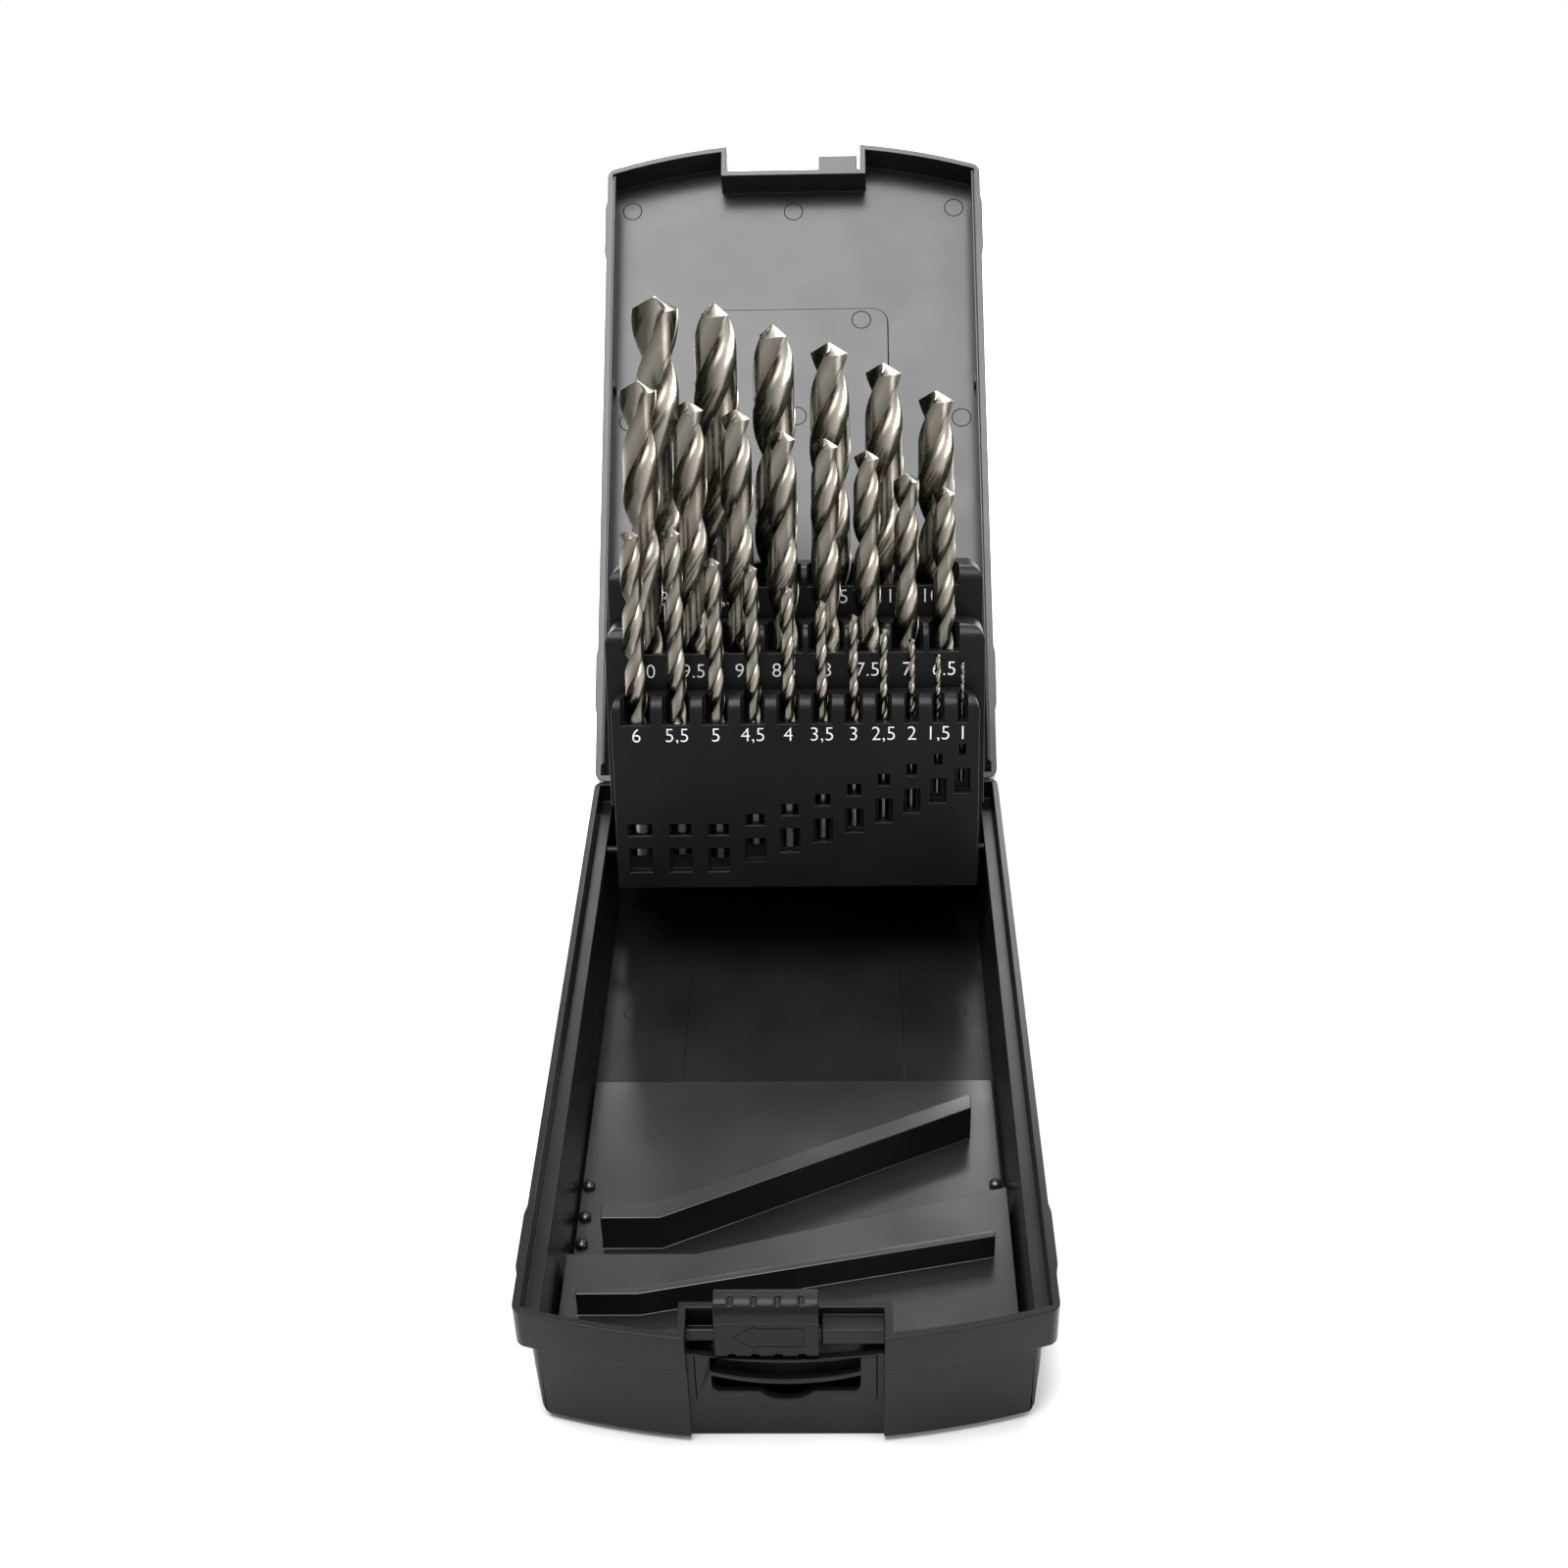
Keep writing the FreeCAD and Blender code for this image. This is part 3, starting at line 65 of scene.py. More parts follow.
# Standard flute length of a jobber drill by its diameter, mm
FLUTES = {
    1.0: 12, 1.5: 18, 2.0: 24, 2.5: 30, 3.0: 33, 3.5: 39, 4.0: 43, 4.5: 47, 5.0: 52, 5.5: 57, 6.0: 57,
    6.5: 63, 7.0: 69, 7.5: 69, 8.0: 75, 8.5: 75, 9.0: 81, 9.5: 81, 10.0: 87, 10.5: 87,
    11.0: 94, 11.5: 94, 12.0: 101, 12.5: 101, 13.0: 101,
}


# Materials: noise by its use, as repeats per metre, detail and stretch along X, Y and Z
PLASTIC_MOTTLE = (35, 5)
PLASTIC_GLOSS = (60, 6)
PLASTIC_GRAIN = (2600, 2)
PLASTIC_WAVE = (25, 1)
WAVE_TO_GRAIN = 4
GRIND_MOTTLE = (700, 4, (1, 1, 0.12))
GRIND_LINES = (1400, 2, (1, 1, 0.3))
GRIND_DEPTH = 0.0000012
MOTTLE_SHARE = 0.08
STEEL_GLOSS = (400, 5)
DRAWN_MOTTLE = (120, 4)
DRAWN_LINES = (900, 3, (1, 1, 4))
DRAWN_DEPTH = 0.000004
PRINT_MOTTLE = (900, 4)
PRINT_GRAIN = (3000, 2)
PRINT_GRAIN_DEPTH = 0.00001
GROOVE_MOTTLE = (400, 3)
GROOVE_GRAIN_DEPTH = 0.000004
FLOOR_MOTTLE = (3, 2)
# Parts of the noise's range between which a ramp runs, and where the ramp of the drills' painted shade starts
RAMP_FROM = 0.3
RAMP_TO = 0.7
PAINTED_SHADE_FROM = 0.04


def new_material(name):
    """A material with a principled shader; returns material, node tree and shader."""
    material = bpy.data.materials.new(name)
    material.use_nodes = True
    tree = material.node_tree
    return material, tree, tree.nodes["Principled BSDF"]


def noise(tree, scale, detail, stretch=(1, 1, 1)):
    """Object-space noise; returns its value socket."""
    place = tree.nodes.new("ShaderNodeTexCoord")
    mapping = tree.nodes.new("ShaderNodeMapping")
    mapping.inputs["Scale"].default_value = stretch
    texture = tree.nodes.new("ShaderNodeTexNoise")
    texture.inputs["Scale"].default_value = scale
    texture.inputs["Detail"].default_value = detail
    tree.links.new(place.outputs["Object"], mapping.inputs["Vector"])
    tree.links.new(mapping.outputs["Vector"], texture.inputs["Vector"])
    return texture.outputs["Fac"]


def ramp(tree, value, low, high):
    """Noise spread between two grey values or two colours."""
    spread = tree.nodes.new("ShaderNodeValToRGB")
    spread.color_ramp.elements[0].position = RAMP_FROM
    spread.color_ramp.elements[1].position = RAMP_TO
    for element, level in zip(spread.color_ramp.elements, (low, high)):
        element.color = (level, level, level, 1) if isinstance(level, float) else (*level, 1)
    tree.links.new(value, spread.inputs["Fac"])
    return spread.outputs["Color"]


def bump(tree, shader, heights):
    """Bumps stacked on a shader: pairs of height socket and depth in metres."""
    normal = None
    for height, depth in heights:
        node = tree.nodes.new("ShaderNodeBump")
        node.inputs["Strength"].default_value = 1.0
        node.inputs["Distance"].default_value = depth
        tree.links.new(height, node.inputs["Height"])
        if normal:
            tree.links.new(normal, node.inputs["Normal"])
        normal = node.outputs["Normal"]
    tree.links.new(normal, shader.inputs["Normal"])


def moulded_plastic(name, dark, light, gloss_low, gloss_high, grain, shine):
    """Black moulded plastic: faint mottling, uneven gloss, fine grain and a slight wave."""
    material, tree, shader = new_material(name)
    shader.inputs["Specular IOR Level"].default_value = shine
    tree.links.new(ramp(tree, noise(tree, *PLASTIC_MOTTLE), dark, light), shader.inputs["Base Color"])
    tree.links.new(ramp(tree, noise(tree, *PLASTIC_GLOSS), gloss_low, gloss_high), shader.inputs["Roughness"])
    bump(tree, shader, [(noise(tree, *PLASTIC_GRAIN), grain),
                        (noise(tree, *PLASTIC_WAVE), grain * WAVE_TO_GRAIN)])
    return material


def ground_steel(name, dark, light, gloss_low, gloss_high):
    """Ground high-speed steel with a warm tinge; the mesh's painted shade attribute sets how bright each place is, as
    painted shade and painted highlight with a little random mottling.
    """
    material, tree, shader = new_material(name)
    shader.inputs["Metallic"].default_value = 1.0
    tone = tree.nodes.new("ShaderNodeAttribute")
    tone.attribute_name = "tone"
    mottle = tree.nodes.new("ShaderNodeMath")
    mottle.operation = "MULTIPLY_ADD"
    tree.links.new(noise(tree, *GRIND_MOTTLE), mottle.inputs[0])
    mottle.inputs[1].default_value = MOTTLE_SHARE
    tree.links.new(tone.outputs["Fac"], mottle.inputs[2])
    spread = tree.nodes.new("ShaderNodeValToRGB")
    spread.color_ramp.elements[0].color = (*dark, 1)
    spread.color_ramp.elements[1].color = (*light, 1)
    spread.color_ramp.elements[0].position = PAINTED_SHADE_FROM
    spread.color_ramp.elements[1].position = 1.0
    tree.links.new(mottle.outputs[0], spread.inputs["Fac"])
    tree.links.new(spread.outputs["Color"], shader.inputs["Base Color"])
    tree.links.new(ramp(tree, noise(tree, *STEEL_GLOSS), gloss_low, gloss_high), shader.inputs["Roughness"])
    bump(tree, shader, [(noise(tree, *GRIND_LINES), GRIND_DEPTH)])
    return material


def plain_steel(name, dark, light, gloss_low, gloss_high):
    """Drawn steel for pins."""
    material, tree, shader = new_material(name)
    shader.inputs["Metallic"].default_value = 1.0
    tree.links.new(ramp(tree, noise(tree, *DRAWN_MOTTLE), dark, light), shader.inputs["Base Color"])
    tree.links.new(ramp(tree, noise(tree, *STEEL_GLOSS), gloss_low, gloss_high), shader.inputs["Roughness"])
    bump(tree, shader, [(noise(tree, *DRAWN_LINES), DRAWN_DEPTH)])
    return material


def print_white(name):
    """White pad print, slightly uneven."""
    material, tree, shader = new_material(name)
    tree.links.new(ramp(tree, noise(tree, *PRINT_MOTTLE), (0.62, 0.63, 0.64), (0.8, 0.8, 0.8)),
                   shader.inputs["Base Color"])
    shader.inputs["Roughness"].default_value = 0.5
    bump(tree, shader, [(noise(tree, *PRINT_GRAIN), PRINT_GRAIN_DEPTH)])
    return material


def painted_groove_shade(name):
    """The shade in a fine moulded groove: dull and nearly black."""
    material, tree, shader = new_material(name)
    tree.links.new(ramp(tree, noise(tree, *GROOVE_MOTTLE), (0.004, 0.004, 0.004), (0.008, 0.008, 0.008)),
                   shader.inputs["Base Color"])
    shader.inputs["Roughness"].default_value = 0.8
    shader.inputs["Specular IOR Level"].default_value = 0.1
    bump(tree, shader, [(noise(tree, *PLASTIC_GRAIN), GROOVE_GRAIN_DEPTH)])
    return material


# Dark and light colour, least and most roughness, depth of the grain, specular level
case_plastic = moulded_plastic(
    "case_plastic", (0.007, 0.007, 0.008), (0.012, 0.012, 0.013), 0.25, 0.32, 0.000005, 0.32)
# The tray's copy of the case plastic has a darker colour: painted shade for the deep tray
tray_plastic_shaded = moulded_plastic(
    "tray_plastic_shaded", (0.005, 0.005, 0.006), (0.009, 0.009, 0.010), 0.22, 0.28, 0.000005, 0.14)
# The racks' copy is darker still: painted shade of the racks, shared by the latch and the rack pins
rack_plastic_shaded = moulded_plastic(
    "rack_plastic_shaded", (0.004, 0.004, 0.0045), (0.007, 0.007, 0.0075), 0.28, 0.38, 0.000006, 0.12)
insert_plastic = moulded_plastic(
    "insert_plastic", (0.007, 0.007, 0.008), (0.012, 0.012, 0.013), 0.17, 0.24, 0.000005, 0.42)
# Painted shade for the fine grooves of the moulded marks
groove_shade = painted_groove_shade("groove_shade")
# The drill steel runs from its dark colour, painted shade, to its light colour, painted highlight, by each place's
# painted shade level
drill_steel = ground_steel("drill_steel", (0.028, 0.025, 0.019), (0.49, 0.452, 0.382), 0.20, 0.30)
pin_steel = plain_steel("pin_steel", (0.25, 0.25, 0.25), (0.4, 0.4, 0.4), 0.25, 0.35)
size_print = print_white("size_print")


# CAD pieces that stay: material and softened edges
EDGE = 0.25 * MM
PIN_EDGE = 0.125 * MM
WELD_DISTANCE = 0.001 * MM
FLAT_ANGLE = math.radians(0.5)
EDGE_ANGLE = math.radians(32)


def dress(node, material, width):
    """Give a CAD node its material and soft moulded edges."""
    piece = frame["nodes"][node]
    piece.data.materials.clear()
    piece.data.materials.append(material)
    piece.data.shade_smooth()
    weld = piece.modifiers.new("weld", "WELD")
    weld.merge_threshold = WELD_DISTANCE
    planar = piece.modifiers.new("whole_faces", "DECIMATE")
    planar.decimate_type = "DISSOLVE"
    planar.angle_limit = FLAT_ANGLE
    bevel = piece.modifiers.new("soft_edges", "BEVEL")
    bevel.width = width
    bevel.segments = 2
    bevel.limit_method = "ANGLE"
    bevel.angle_limit = EDGE_ANGLE
    bevel.use_clamp_overlap = False
    normals = piece.modifiers.new("flat_faces", "WEIGHTED_NORMAL")
    normals.keep_sharp = True


for node, material, width in (
        ("base_tray", tray_plastic_shaded, EDGE), ("lid_shell", case_plastic, EDGE), ("slide_latch", rack_plastic_shaded, EDGE),
        ("drill_stop_insert", insert_plastic, EDGE), ("holder_small", rack_plastic_shaded, EDGE),
        ("holder_medium", rack_plastic_shaded, EDGE), ("holder_large", rack_plastic_shaded, EDGE),
        ("hinge_pins", pin_steel, PIN_EDGE), ("rack_pins", rack_plastic_shaded, PIN_EDGE)):
    dress(node, material, width)


# Twist drills, as shares of the drill's radius: the flute's centre, its radius, and the land
FLUTE_REACH = 1.02
FLUTE_RADIUS = 0.88
LAND_CLEARANCE = 0.955
SHANK_CLEARANCE = 0.985
CHAMFER = 0.9
MARGIN_ANGLE = math.radians(9)
POINT_HALF_ANGLE = math.radians(62)
# As shares of the diameter: one turn at a helix angle of 30 degrees, and the flute's run-out
TURN_SHARE = math.pi / math.tan(math.radians(30))
RUN_OUT_SHARE = 0.9
CHAMFER_FROM_SHARE = 0.04
CHAMFER_TO_SHARE = 0.05
# How far the ground point falls behind its lip, and the size of the ring that keeps it flat
RELIEF = 0.16
POINT_RING = 0.8
RINGS_PER_TURN = 34
LEAST_RINGS = 24
FLUTE_POINTS = 18
LAND_POINTS = 9
SHARP_ANGLE = math.radians(34)
# Brightness painted on the drills as shade and highlight: across a flute from its lip to the next heel, across a land,
# of a shank and round a point
FLUTE_PAINTED_SHADES = (0.06, 0.02, 0.06, 0.22, 0.58, 0.95, 0.70, 0.30)
LAND_PAINTED_SHADES = (0.16, 0.44, 0.30, 0.20)
SHANK_SHADE_LEVEL = 0.30
POINT_PAINTED_SHADES = (0.10, 0.62, 0.34, 0.05)
# How far a drill is turned at its tip, degrees, by its diameter; the others show a flute on the left
TIP_TURNS = {13.0: 90, 10.0: 90, 7.0: 90, 12.5: 20, 12.0: 20}
USUAL_TIP_TURN = 45


def drill_section():
    """Half of a drill's cross-section of radius 1: land with its margin, then the flute behind it."""
    reach, curve = FLUTE_REACH, FLUTE_RADIUS
    opening = math.acos((1 + reach ** 2 - curve ** 2) / (2 * reach))
    heel, lip = opening, math.pi - opening
    points = []
    for index in range(LAND_POINTS):
        angle = heel + (lip - MARGIN_ANGLE - heel) * index / (LAND_POINTS - 1)
        points.append((LAND_CLEARANCE * math.cos(angle), LAND_CLEARANCE * math.sin(angle)))
    for angle in (lip - MARGIN_ANGLE, lip - MARGIN_ANGLE / 2, lip):
        points.append((math.cos(angle), math.sin(angle)))
    start = math.atan2(math.sin(lip), math.cos(lip) + reach)
    for index in range(1, FLUTE_POINTS):
        angle = start - 2 * start * index / FLUTE_POINTS
        points.append((-reach + curve * math.cos(angle), curve * math.sin(angle)))
    return points


def full_section():
    """Both halves of the cross-section, with each point's place behind its lip and its painted shade level, 0 to 1."""
    half = drill_section()
    section = []
    for x, y in half:
        section.append((x, y))
    for x, y in half:
        section.append((-x, -y))
    land = LAND_POINTS + 3
    tones = []
    for index in range(len(half)):
        if index < land:
            tones.append(between(LAND_PAINTED_SHADES, index / (land - 1)))
        else:
            tones.append(between(FLUTE_PAINTED_SHADES, (index - land + 1) / FLUTE_POINTS))
    behind = []
    for index in range(len(half)):
        behind.append(1 - index / (land - 1) if index < land else 0.0)
    return section, behind * 2, tones * 2


def between(levels, share):
    """A value between evenly spaced levels."""
    place = share * (len(levels) - 1)
    index = min(int(place), len(levels) - 2)
    return levels[index] + (levels[index + 1] - levels[index]) * (place - index)


SECTION, BEHIND_LIP, PAINTED_SHADES = full_section()


def twist_drill(name, foot, along, length, flute, diameter):
    """One drill as a mesh: shank with its chamfer, flute run-out, twisted body and ground point."""
    radius = diameter / 2
    turn = TURN_SHARE * diameter
    shank = length - flute
    run_out = diameter * RUN_OUT_SHARE
    side = Vector((1, 0, 0))
    across = along.cross(side)
    tip_turn = math.radians(TIP_TURNS.get(round(diameter / MM, 1), USUAL_TIP_TURN))
    spin = tip_turn - 2 * math.pi * length / turn
    levels = [0.0, CHAMFER_FROM_SHARE * diameter, CHAMFER_TO_SHARE * diameter, shank * 0.5, shank - run_out * 0.02]
    steps = max(LEAST_RINGS, round(flute / turn * RINGS_PER_TURN))
    levels += [shank + flute * step / steps for step in range(steps + 1)]
    verts, faces, tones = [], [], []
    count = len(SECTION)
    cot = 1 / math.tan(POINT_HALF_ANGLE)
    for level in levels:
        fluted = min(1.0, max(0.0, (level - shank) / run_out))
        fluted = fluted * fluted * (3 - 2 * fluted)
        chamfer = CHAMFER if level == 0.0 else 1.0
        for (x, y), behind in zip(SECTION, BEHIND_LIP):
            reach = math.hypot(x, y)
            angle = math.atan2(y, x)
            reach = (1 - fluted) * SHANK_CLEARANCE + fluted * reach
            drop = radius * reach * (cot + RELIEF * behind * fluted)
            top = length - drop
            height = level if level <= shank else shank + (level - shank) * (top - shank) / flute
            turned = angle + 2 * math.pi * max(height, shank) / turn + spin
            reach *= radius * chamfer
            point = foot + along * height + side * (reach * math.cos(turned)) \
                + across * (reach * math.sin(turned))
            verts.append(point)
            # Painted shade: each place blends from the shank's level into the section's painted shade and highlight as
            # the flute runs out
            tones.append(SHANK_SHADE_LEVEL + (PAINTED_SHADES[len(tones) % count] - SHANK_SHADE_LEVEL) * fluted)
    rings = len(levels)
    for ring in range(rings - 1):
        for index in range(count):
            after = (index + 1) % count
            faces.append((ring * count + index, ring * count + after,
                          (ring + 1) * count + after, (ring + 1) * count + index))
    last = (rings - 1) * count
    tip = foot + along * length
    inner = []
    for index in range(count):
        point = verts[last + index]
        inner.append(len(verts))
        verts.append(tip + (point - tip) * POINT_RING)
        # Painted shade round the point: lit and shaded facets
        tones.append(between(POINT_PAINTED_SHADES, index % (count // 2) / (count // 2 - 1)))
    verts.append(tip)
    centre = len(verts) - 1
    verts.append(foot)
    tones += [POINT_PAINTED_SHADES[2], SHANK_SHADE_LEVEL]
    for index in range(count):
        after = (index + 1) % count
        faces.append((last + index, last + after, inner[after], inner[index]))
        faces.append((inner[index], inner[after], centre))
        faces.append((after, index, centre + 1))
    mesh = bpy.data.meshes.new(name + "_twist")
    mesh.from_pydata(verts, [], faces)
    mesh.materials.append(drill_steel)
    # The painted shade levels go onto the mesh for the drill steel to read
    mesh.attributes.new("tone", "FLOAT", "POINT").data.foreach_set("value", tones)
    mesh.shade_smooth()
    mesh.set_sharp_from_angle(angle=SHARP_ANGLE)
    drill = bpy.data.objects.new(name + "_twist", mesh)
    bpy.context.scene.collection.objects.link(drill)
    return drill


def ends_along(node, along):
    """Foot and length of a CAD drill along its axis."""
    low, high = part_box(node)
    x = (low.x + high.x) / 2
    heights = [(vertex.co.dot(along), vertex.co) for vertex in frame["nodes"][node].data.vertices]
    foot_height = min(height for height, place in heights)
    tip_height = max(height for height, place in heights)
    disc = [place for height, place in heights if height - foot_height < 1e-6]
    spread = [min(p[axis] for p in disc) + max(p[axis] for p in disc) for axis in (1, 2)]
    return Vector((x, spread[0] / 2, spread[1] / 2)), tip_height - foot_height


def build_drills():
    """Replace every CAD drill with its full form; returns each drill's foot."""
    feet = {}
    for node in frame["nodes"]:
        if not (node.startswith("drill_") and node[6].isdigit()):
            continue
        diameter = float(node[6:].replace("_", "."))
        along = Vector(joints[node + "_slide"]["axis"]).normalized()
        foot, length = ends_along(node, along)
        drill = twist_drill(node, foot, along, length, FLUTES[diameter] * MM, diameter * MM)
        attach(drill, body_of_node[node])
        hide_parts(node)
        feet[diameter] = foot
    return feet


feet = build_drills()


# Printed sizes
PRINT_HEIGHT = 5.7 * MM
PRINT_THINNING = 0.07 * MM
PRINT_LIFT = 0.012 * MM


def rack_axes(rack):
    """Pin point of a rack, its upward direction and its outward direction."""
    first = RACKS[rack]["drills"][0].replace(",", "_").replace(".", "_")
    name = "drill_" + (first if "_" in first else first + "_0")
    along = Vector(joints[name + "_slide"]["axis"]).normalized()
    pin = Vector(joints[rack + "_rack_hinge"]["pos_m"])
    out = Vector((0, -along.z, along.y))
    return pin, along, out


def front_of(rack):
    """Distance of a rack's front face from its pin."""
    pin, along, out = rack_axes(rack)
    return max((vertex.co - pin).dot(out) for vertex in frame["nodes"]["holder_" + rack].data.vertices)


def printed_size(rack, text, x, pin, along, out, front):
    """One printed drill size on a rack's front face."""
    curve = bpy.data.curves.new("print_" + rack, "FONT")
    curve.body = text
    curve.size = PRINT_HEIGHT
    curve.offset = -PRINT_THINNING
    curve.align_x = "CENTER"
    curve.align_y = "CENTER"
    curve.extrude = PRINT_LIFT
    curve.resolution_u = 4
    holder = bpy.data.objects.new("print_shape", curve)
    bpy.context.scene.collection.objects.link(holder)
    bpy.context.view_layer.update()
    mesh = bpy.data.meshes.new_from_object(holder.evaluated_get(bpy.context.evaluated_depsgraph_get()))
    bpy.data.objects.remove(holder)
    middle = pin + along * RACKS[rack]["print_height"] * MM + out * (front + PRINT_LIFT)
    middle.x = x
    turn = Matrix((Vector((1, 0, 0)), along, out)).transposed().to_4x4()
    mesh.transform(Matrix.Translation(middle) @ turn)
    mesh.materials.clear()
    mesh.materials.append(size_print)
    piece = bpy.data.objects.new("size_" + text.replace(",", "_").replace(".", "_"), mesh)
    bpy.context.scene.collection.objects.link(piece)
    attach(piece, rack + "_rack")


for rack, facts in RACKS.items():
    pin, along, out = rack_axes(rack)
    front = front_of(rack)
    for text in facts["drills"]:
        diameter = float(text.replace(",", "."))
        printed_size(rack, text, feet[diameter].x, pin, along, out, front)


# Fine moulded marks: ejector rings, panel outlines and the arrow, drawn as thin dark beads of painted groove shade
BEAD_SIDES = 6
BEAD_FLATNESS = 0.5


def line_mark(name, points, normal, thickness, body):
    """A thin closed line through points, as a fine flattened bead of painted groove shade."""
    sides = BEAD_SIDES
    count = len(points)
    verts, faces = [], []
    for index, point in enumerate(points):
        before, after = points[index - 1], points[(index + 1) % count]
        across = (after - before).normalized().cross(normal).normalized()
        for turn in range(sides):
            roll = 2 * math.pi * turn / sides
            verts.append(point + across * (thickness * math.cos(roll))
                         + normal * (thickness * math.sin(roll) * BEAD_FLATNESS))
    for index in range(count):
        for turn in range(sides):
            after, next_turn = (index + 1) % count, (turn + 1) % sides
            faces.append((index * sides + turn, after * sides + turn,
                          after * sides + next_turn, index * sides + next_turn))
    mesh = bpy.data.meshes.new(name)
    mesh.from_pydata(verts, [], faces)
    mesh.materials.append(groove_shade)
    mesh.shade_smooth()
    piece = bpy.data.objects.new(name, mesh)
    bpy.context.scene.collection.objects.link(piece)
    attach(piece, body)


def on_plane(origin, side, along, outline):
    """Points of a flat outline, given in mm on a plane."""
    return [origin + side * (x * MM) + along * (y * MM) for x, y in outline]


def ring(x, y, radius, steps=40):
    """Outline of a circle."""
    return [(x + radius * math.cos(2 * math.pi * step / steps), y + radius * math.sin(2 * math.pi * step / steps))
            for step in range(steps)]


def round_box(x0, x1, y0, y1, radius, steps=8):
    """Outline of a rectangle with round corners."""
    outline = []
    for x, y, start in ((x1 - radius, y1 - radius, 0), (x0 + radius, y1 - radius, 90),
                        (x0 + radius, y0 + radius, 180), (x1 - radius, y0 + radius, 270)):
        for step in range(steps + 1):
            angle = math.radians(start + 90 * step / steps)
            outline.append((x + radius * math.cos(angle), y + radius * math.sin(angle)))
    return outline


SIDE = Vector((1, 0, 0))
lid_joint = joints["lid_hinge"]
hinge = Vector(lid_joint["pos_m"])
lid_turn = math.radians(-lid_joint["range_deg"][0])
lid_along = Vector((0, -math.cos(lid_turn), math.sin(lid_turn)))
lid_out = Vector((0, -math.sin(lid_turn), -math.cos(lid_turn)))
# Depth of the lid's floor under its rim, relief of the floor panels, half width of a line, mm
LID_FLOOR = 11.0
PANEL_RELIEF = 0.4
PANEL_HALF = 30.0
LID_PANEL_TOP = 159.5
LID_PANEL = (-PANEL_HALF, PANEL_HALF, 59.5, LID_PANEL_TOP, 5.0)
MARK_RADIUS = 3.0
LINE = 0.16 * MM
ARROW_LINE = 0.17 * MM
# Ejector marks on the lid's floor: distance from the middle and from the hinge, mm
LID_MARKS = ((-52.9, 195.7), (-0.2, 194.7), (52.1, 195.2), (21.5, 155.4), (0.6, 122.2), (52.9, 121.1),
             (-52.9, 121.1), (21.5, 64.0), (-21.5, 64.0))
for index, (x, reach) in enumerate(LID_MARKS):
    raised = PANEL_RELIEF if abs(x) < PANEL_HALF and reach < LID_PANEL_TOP else 0.0
    origin = hinge - lid_out * ((LID_FLOOR - raised) * MM)
    line_mark("lid_mark_%d" % index, on_plane(origin, SIDE, lid_along, ring(x, reach, MARK_RADIUS)), lid_out,
              LINE, "lid")
line_mark("lid_panel_line", on_plane(hinge - lid_out * (LID_FLOOR * MM), SIDE, lid_along, round_box(*LID_PANEL)),
          lid_out, LINE, "lid")

UP = Vector((0, 0, 1))
BACK = Vector((0, 1, 0))
TRAY_FLOOR = 2.2
# Ejector marks on the tray's floor, mm
TRAY_MARKS = ((-21.5, 32.0), (21.5, 32.0), (-45.0, 40.0), (45.0, 40.0))
for index, (x, y) in enumerate(TRAY_MARKS):
    raised = PANEL_RELIEF if abs(x) < PANEL_HALF else 0.0
    line_mark("tray_mark_%d" % index, on_plane(UP * ((TRAY_FLOOR + raised) * MM), SIDE, BACK, ring(x, y, MARK_RADIUS)),
              UP, LINE, "base")

# Arrow on the latch: it points to the side on which the latch is open
LATCH_FACE = -103.2
ARROW = ((-11.4, 33.4), (-6.4, 37.0), (-6.4, 36.2), (4.1, 36.2), (4.1, 30.5), (-6.4, 30.5), (-6.4, 29.7))
line_mark("latch_arrow", on_plane(BACK * (LATCH_FACE * MM), SIDE, UP, ARROW), -BACK, ARROW_LINE, "latch")


# Mushroom pegs of the insert: profile of shaft and head as radius and height, and places, mm
PEG_PROFILE = ((0.0, 2.25), (0.85, 2.25), (0.85, 4.5),
               (0.9, 4.5), (1.5, 4.62), (1.62, 4.95), (1.5, 5.4), (1.15, 5.75), (0.6, 5.95), (0.0, 6.0))
PEG_PLACES = ((-51.4, -29.6), (-51.4, -40.3), (-51.4, -49.4), (51.4, -29.6))
PEG_SIDES = 28
PEG_SHARP_ANGLE = math.radians(50)


def mushroom_peg(name, x, y):
    """A turned peg with a domed head, on a shaft through the insert."""
    steps = PEG_SIDES
    verts, faces = [], []
    for radius, height in PEG_PROFILE:
        for step in range(steps):
            angle = 2 * math.pi * step / steps
            verts.append(Vector((x + radius * math.cos(angle), y + radius * math.sin(angle), height)) * MM)
    for level in range(len(PEG_PROFILE) - 1):
        for step in range(steps):
            after = (step + 1) % steps
            faces.append((level * steps + step, level * steps + after,
                          (level + 1) * steps + after, (level + 1) * steps + step))
    mesh = bpy.data.meshes.new(name)
    mesh.from_pydata(verts, [], faces)
    mesh.materials.append(insert_plastic)
    mesh.validate()
    mesh.shade_smooth()
    mesh.set_sharp_from_angle(angle=PEG_SHARP_ANGLE)
    piece = bpy.data.objects.new(name, mesh)
    bpy.context.scene.collection.objects.link(piece)
    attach(piece, "base")
    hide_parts("insert_pegs")


for index, (x, y) in enumerate(PEG_PLACES):
    mushroom_peg("peg_%d" % index, x, y)


# Floor, light and camera: half the floor's side, and each lamp's place, target, width, height and power
FLOOR_HALF = 1.0
WORLD_LEVEL = 0.35
SOFTBOXES = {
    "overhead": ((-0.14, -0.02, 1.1), (0, 0.05, 0), 0.9, 0.7, 26),
    "back_fill": ((0.25, 1.1, 0.80), (0, 0.0, 0.02), 0.9, 0.4, 13),
    "right_fill": ((1.0, -0.5, 0.5), (0, 0, 0.05), 0.5, 0.7, 4),
}


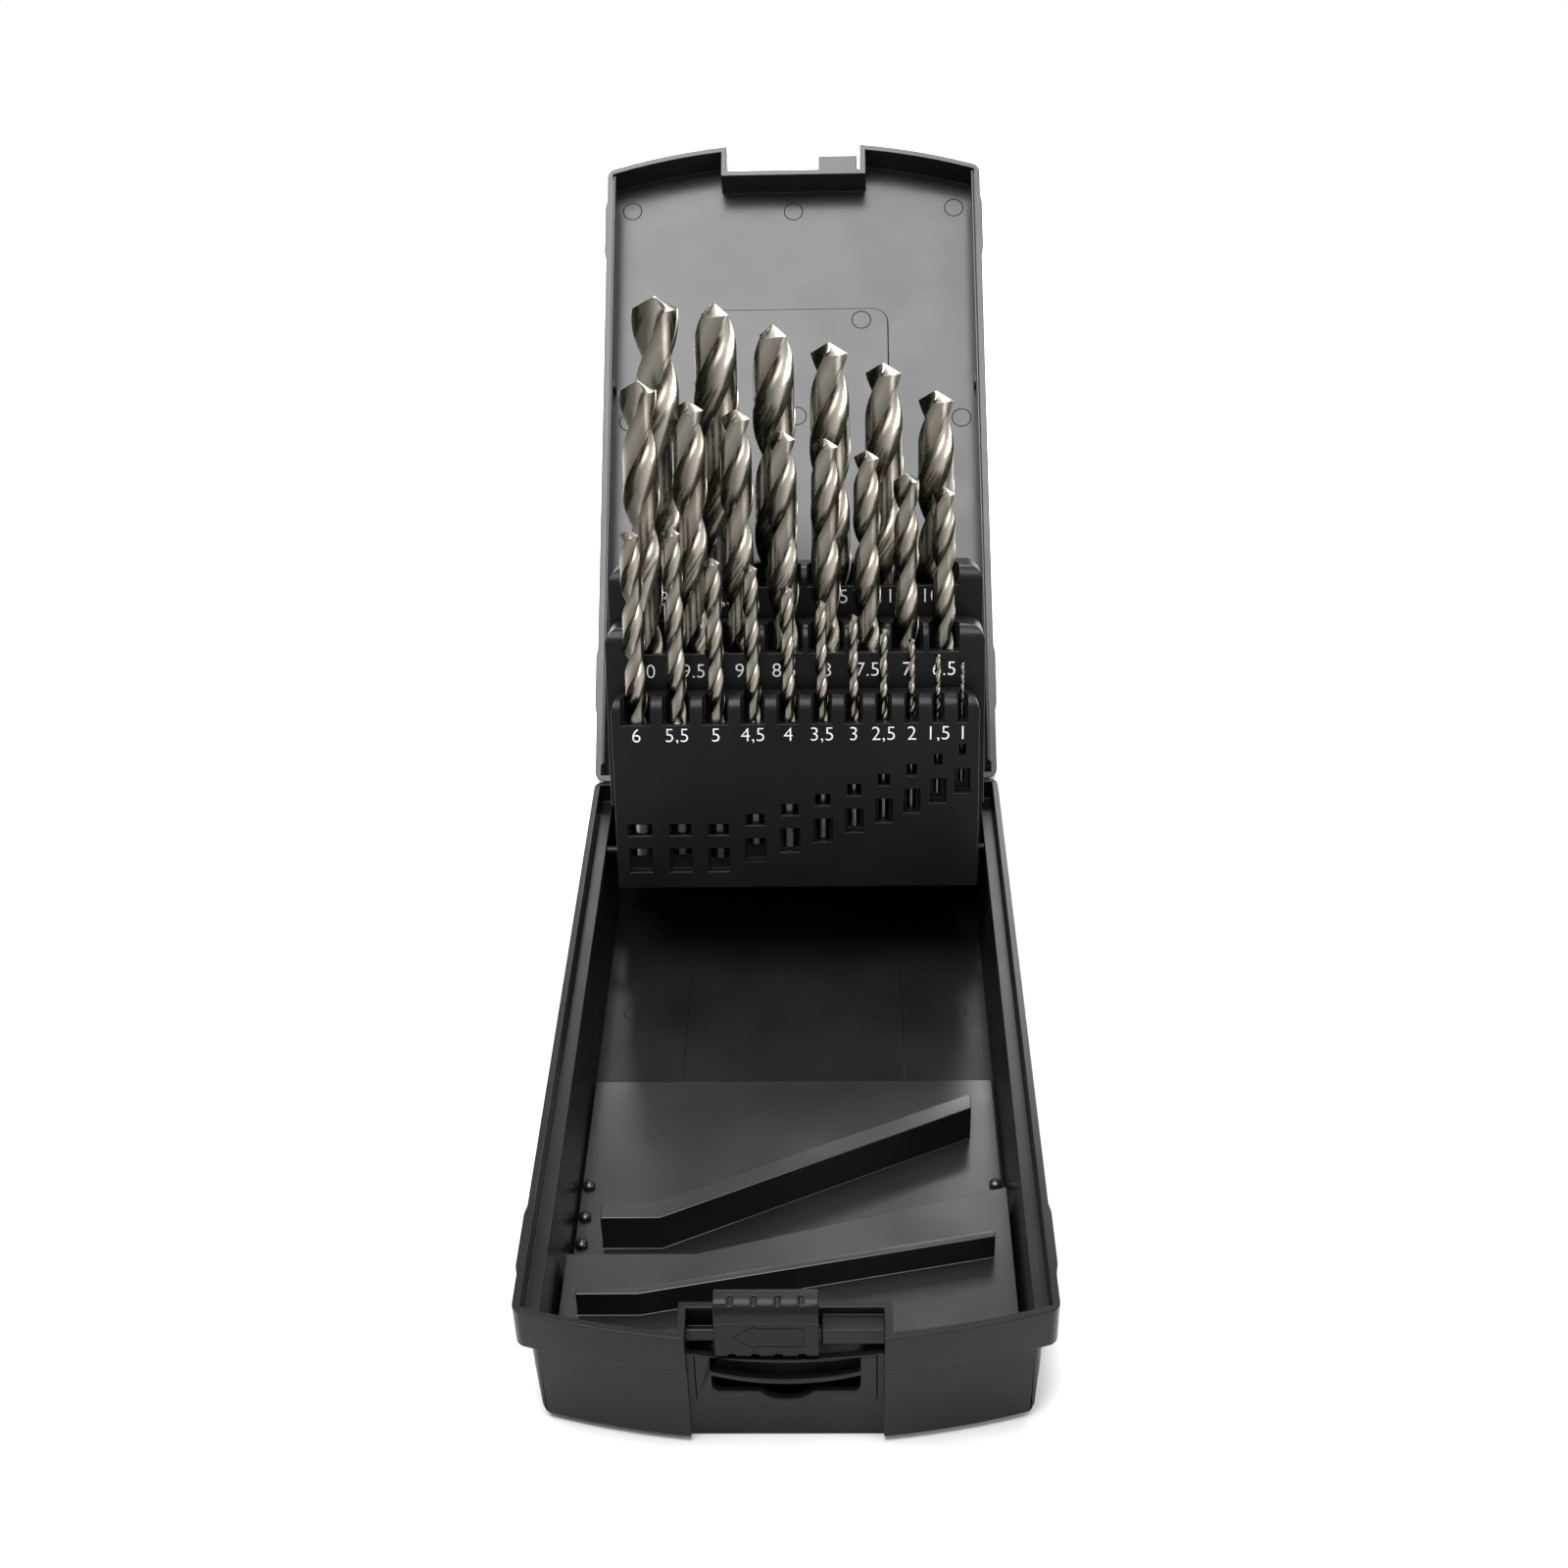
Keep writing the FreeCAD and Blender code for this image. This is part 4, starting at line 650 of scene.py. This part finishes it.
def plain_floor():
    """A pale floor that turns into the white background."""
    mesh = bpy.data.meshes.new("studio_floor")
    half = FLOOR_HALF
    mesh.from_pydata([(-half, -half, 0), (half, -half, 0), (half, half, 0), (-half, half, 0)], [], [(0, 1, 2, 3)])
    material, tree, shader = new_material("studio_floor")
    tree.links.new(ramp(tree, noise(tree, *FLOOR_MOTTLE), (0.80, 0.80, 0.80), (0.82, 0.82, 0.82)),
                   shader.inputs["Base Color"])
    shader.inputs["Roughness"].default_value = 0.9
    shader.inputs["Specular IOR Level"].default_value = 0.0
    mesh.materials.append(material)
    floor = bpy.data.objects.new("studio_floor", mesh)
    bpy.context.scene.collection.objects.link(floor)


def softbox(name, place, target, width, height, power):
    """An area lamp that looks at a point."""
    lamp = bpy.data.lights.new(name, "AREA")
    lamp.shape = "RECTANGLE"
    lamp.size = width
    lamp.size_y = height
    lamp.energy = power
    holder = bpy.data.objects.new(name, lamp)
    holder.location = place
    holder.rotation_mode = "QUATERNION"
    holder.rotation_quaternion = (Vector(target) - Vector(place)).to_track_quat("-Z", "Y")
    bpy.context.scene.collection.objects.link(holder)


def white_world(level):
    """Soft grey light all round; the camera and reflections see white."""
    world = bpy.data.worlds.new("studio")
    bpy.context.scene.world = world
    world.use_nodes = True
    tree = world.node_tree
    background = tree.nodes["Background"]
    path = tree.nodes.new("ShaderNodeLightPath")
    seen = tree.nodes.new("ShaderNodeMath")
    seen.operation = "MAXIMUM"
    clear = tree.nodes.new("ShaderNodeMath")
    clear.operation = "MAXIMUM"
    tree.links.new(path.outputs["Is Camera Ray"], seen.inputs[0])
    tree.links.new(path.outputs["Is Glossy Ray"], seen.inputs[1])
    tree.links.new(seen.outputs[0], clear.inputs[0])
    tree.links.new(path.outputs["Is Transmission Ray"], clear.inputs[1])
    mix = tree.nodes.new("ShaderNodeMix")
    mix.data_type = "FLOAT"
    mix.inputs[2].default_value = level
    mix.inputs[3].default_value = 1.0
    tree.links.new(clear.outputs[0], mix.inputs[0])
    tree.links.new(mix.outputs[0], background.inputs["Strength"])
    background.inputs["Color"].default_value = (1, 1, 1, 1)


# The camera, fitted to the photograph; its focal length is in pixels of the photograph
CAMERA_PLACE = Vector((0.0127, -0.4061, 0.3868))
CAMERA_DOWN = math.radians(34.5)
CAMERA_YAW = math.radians(-1.81)
CAMERA_ROLL = math.radians(-1.56)
FOCAL_PIXELS = 2126.0
PHOTO_PIXELS = 1600.0
SENSOR_WIDTH = 36.0


def photo_camera():
    """The camera at the photograph's viewing angle."""
    camera = bpy.data.cameras.new("photo_camera")
    camera.sensor_width = SENSOR_WIDTH
    camera.lens = FOCAL_PIXELS / PHOTO_PIXELS * SENSOR_WIDTH
    holder = bpy.data.objects.new("photo_camera", camera)
    forward = Vector((math.sin(CAMERA_YAW) * math.cos(CAMERA_DOWN),
                      math.cos(CAMERA_YAW) * math.cos(CAMERA_DOWN), -math.sin(CAMERA_DOWN)))
    right = forward.cross(Vector((0, 0, 1))).normalized()
    up = right.cross(forward)
    rolled_right = right * math.cos(CAMERA_ROLL) + up * math.sin(CAMERA_ROLL)
    rolled_up = up * math.cos(CAMERA_ROLL) - right * math.sin(CAMERA_ROLL)
    turn = Matrix((rolled_right, rolled_up, -forward)).transposed().to_4x4()
    holder.matrix_world = Matrix.Translation(CAMERA_PLACE) @ turn
    bpy.context.scene.collection.objects.link(holder)
    bpy.context.scene.camera = holder


bpy.context.scene.view_settings.view_transform = "Standard"
plain_floor()
white_world(WORLD_LEVEL)
for name, settings in SOFTBOXES.items():
    softbox(name, *settings)
photo_camera()
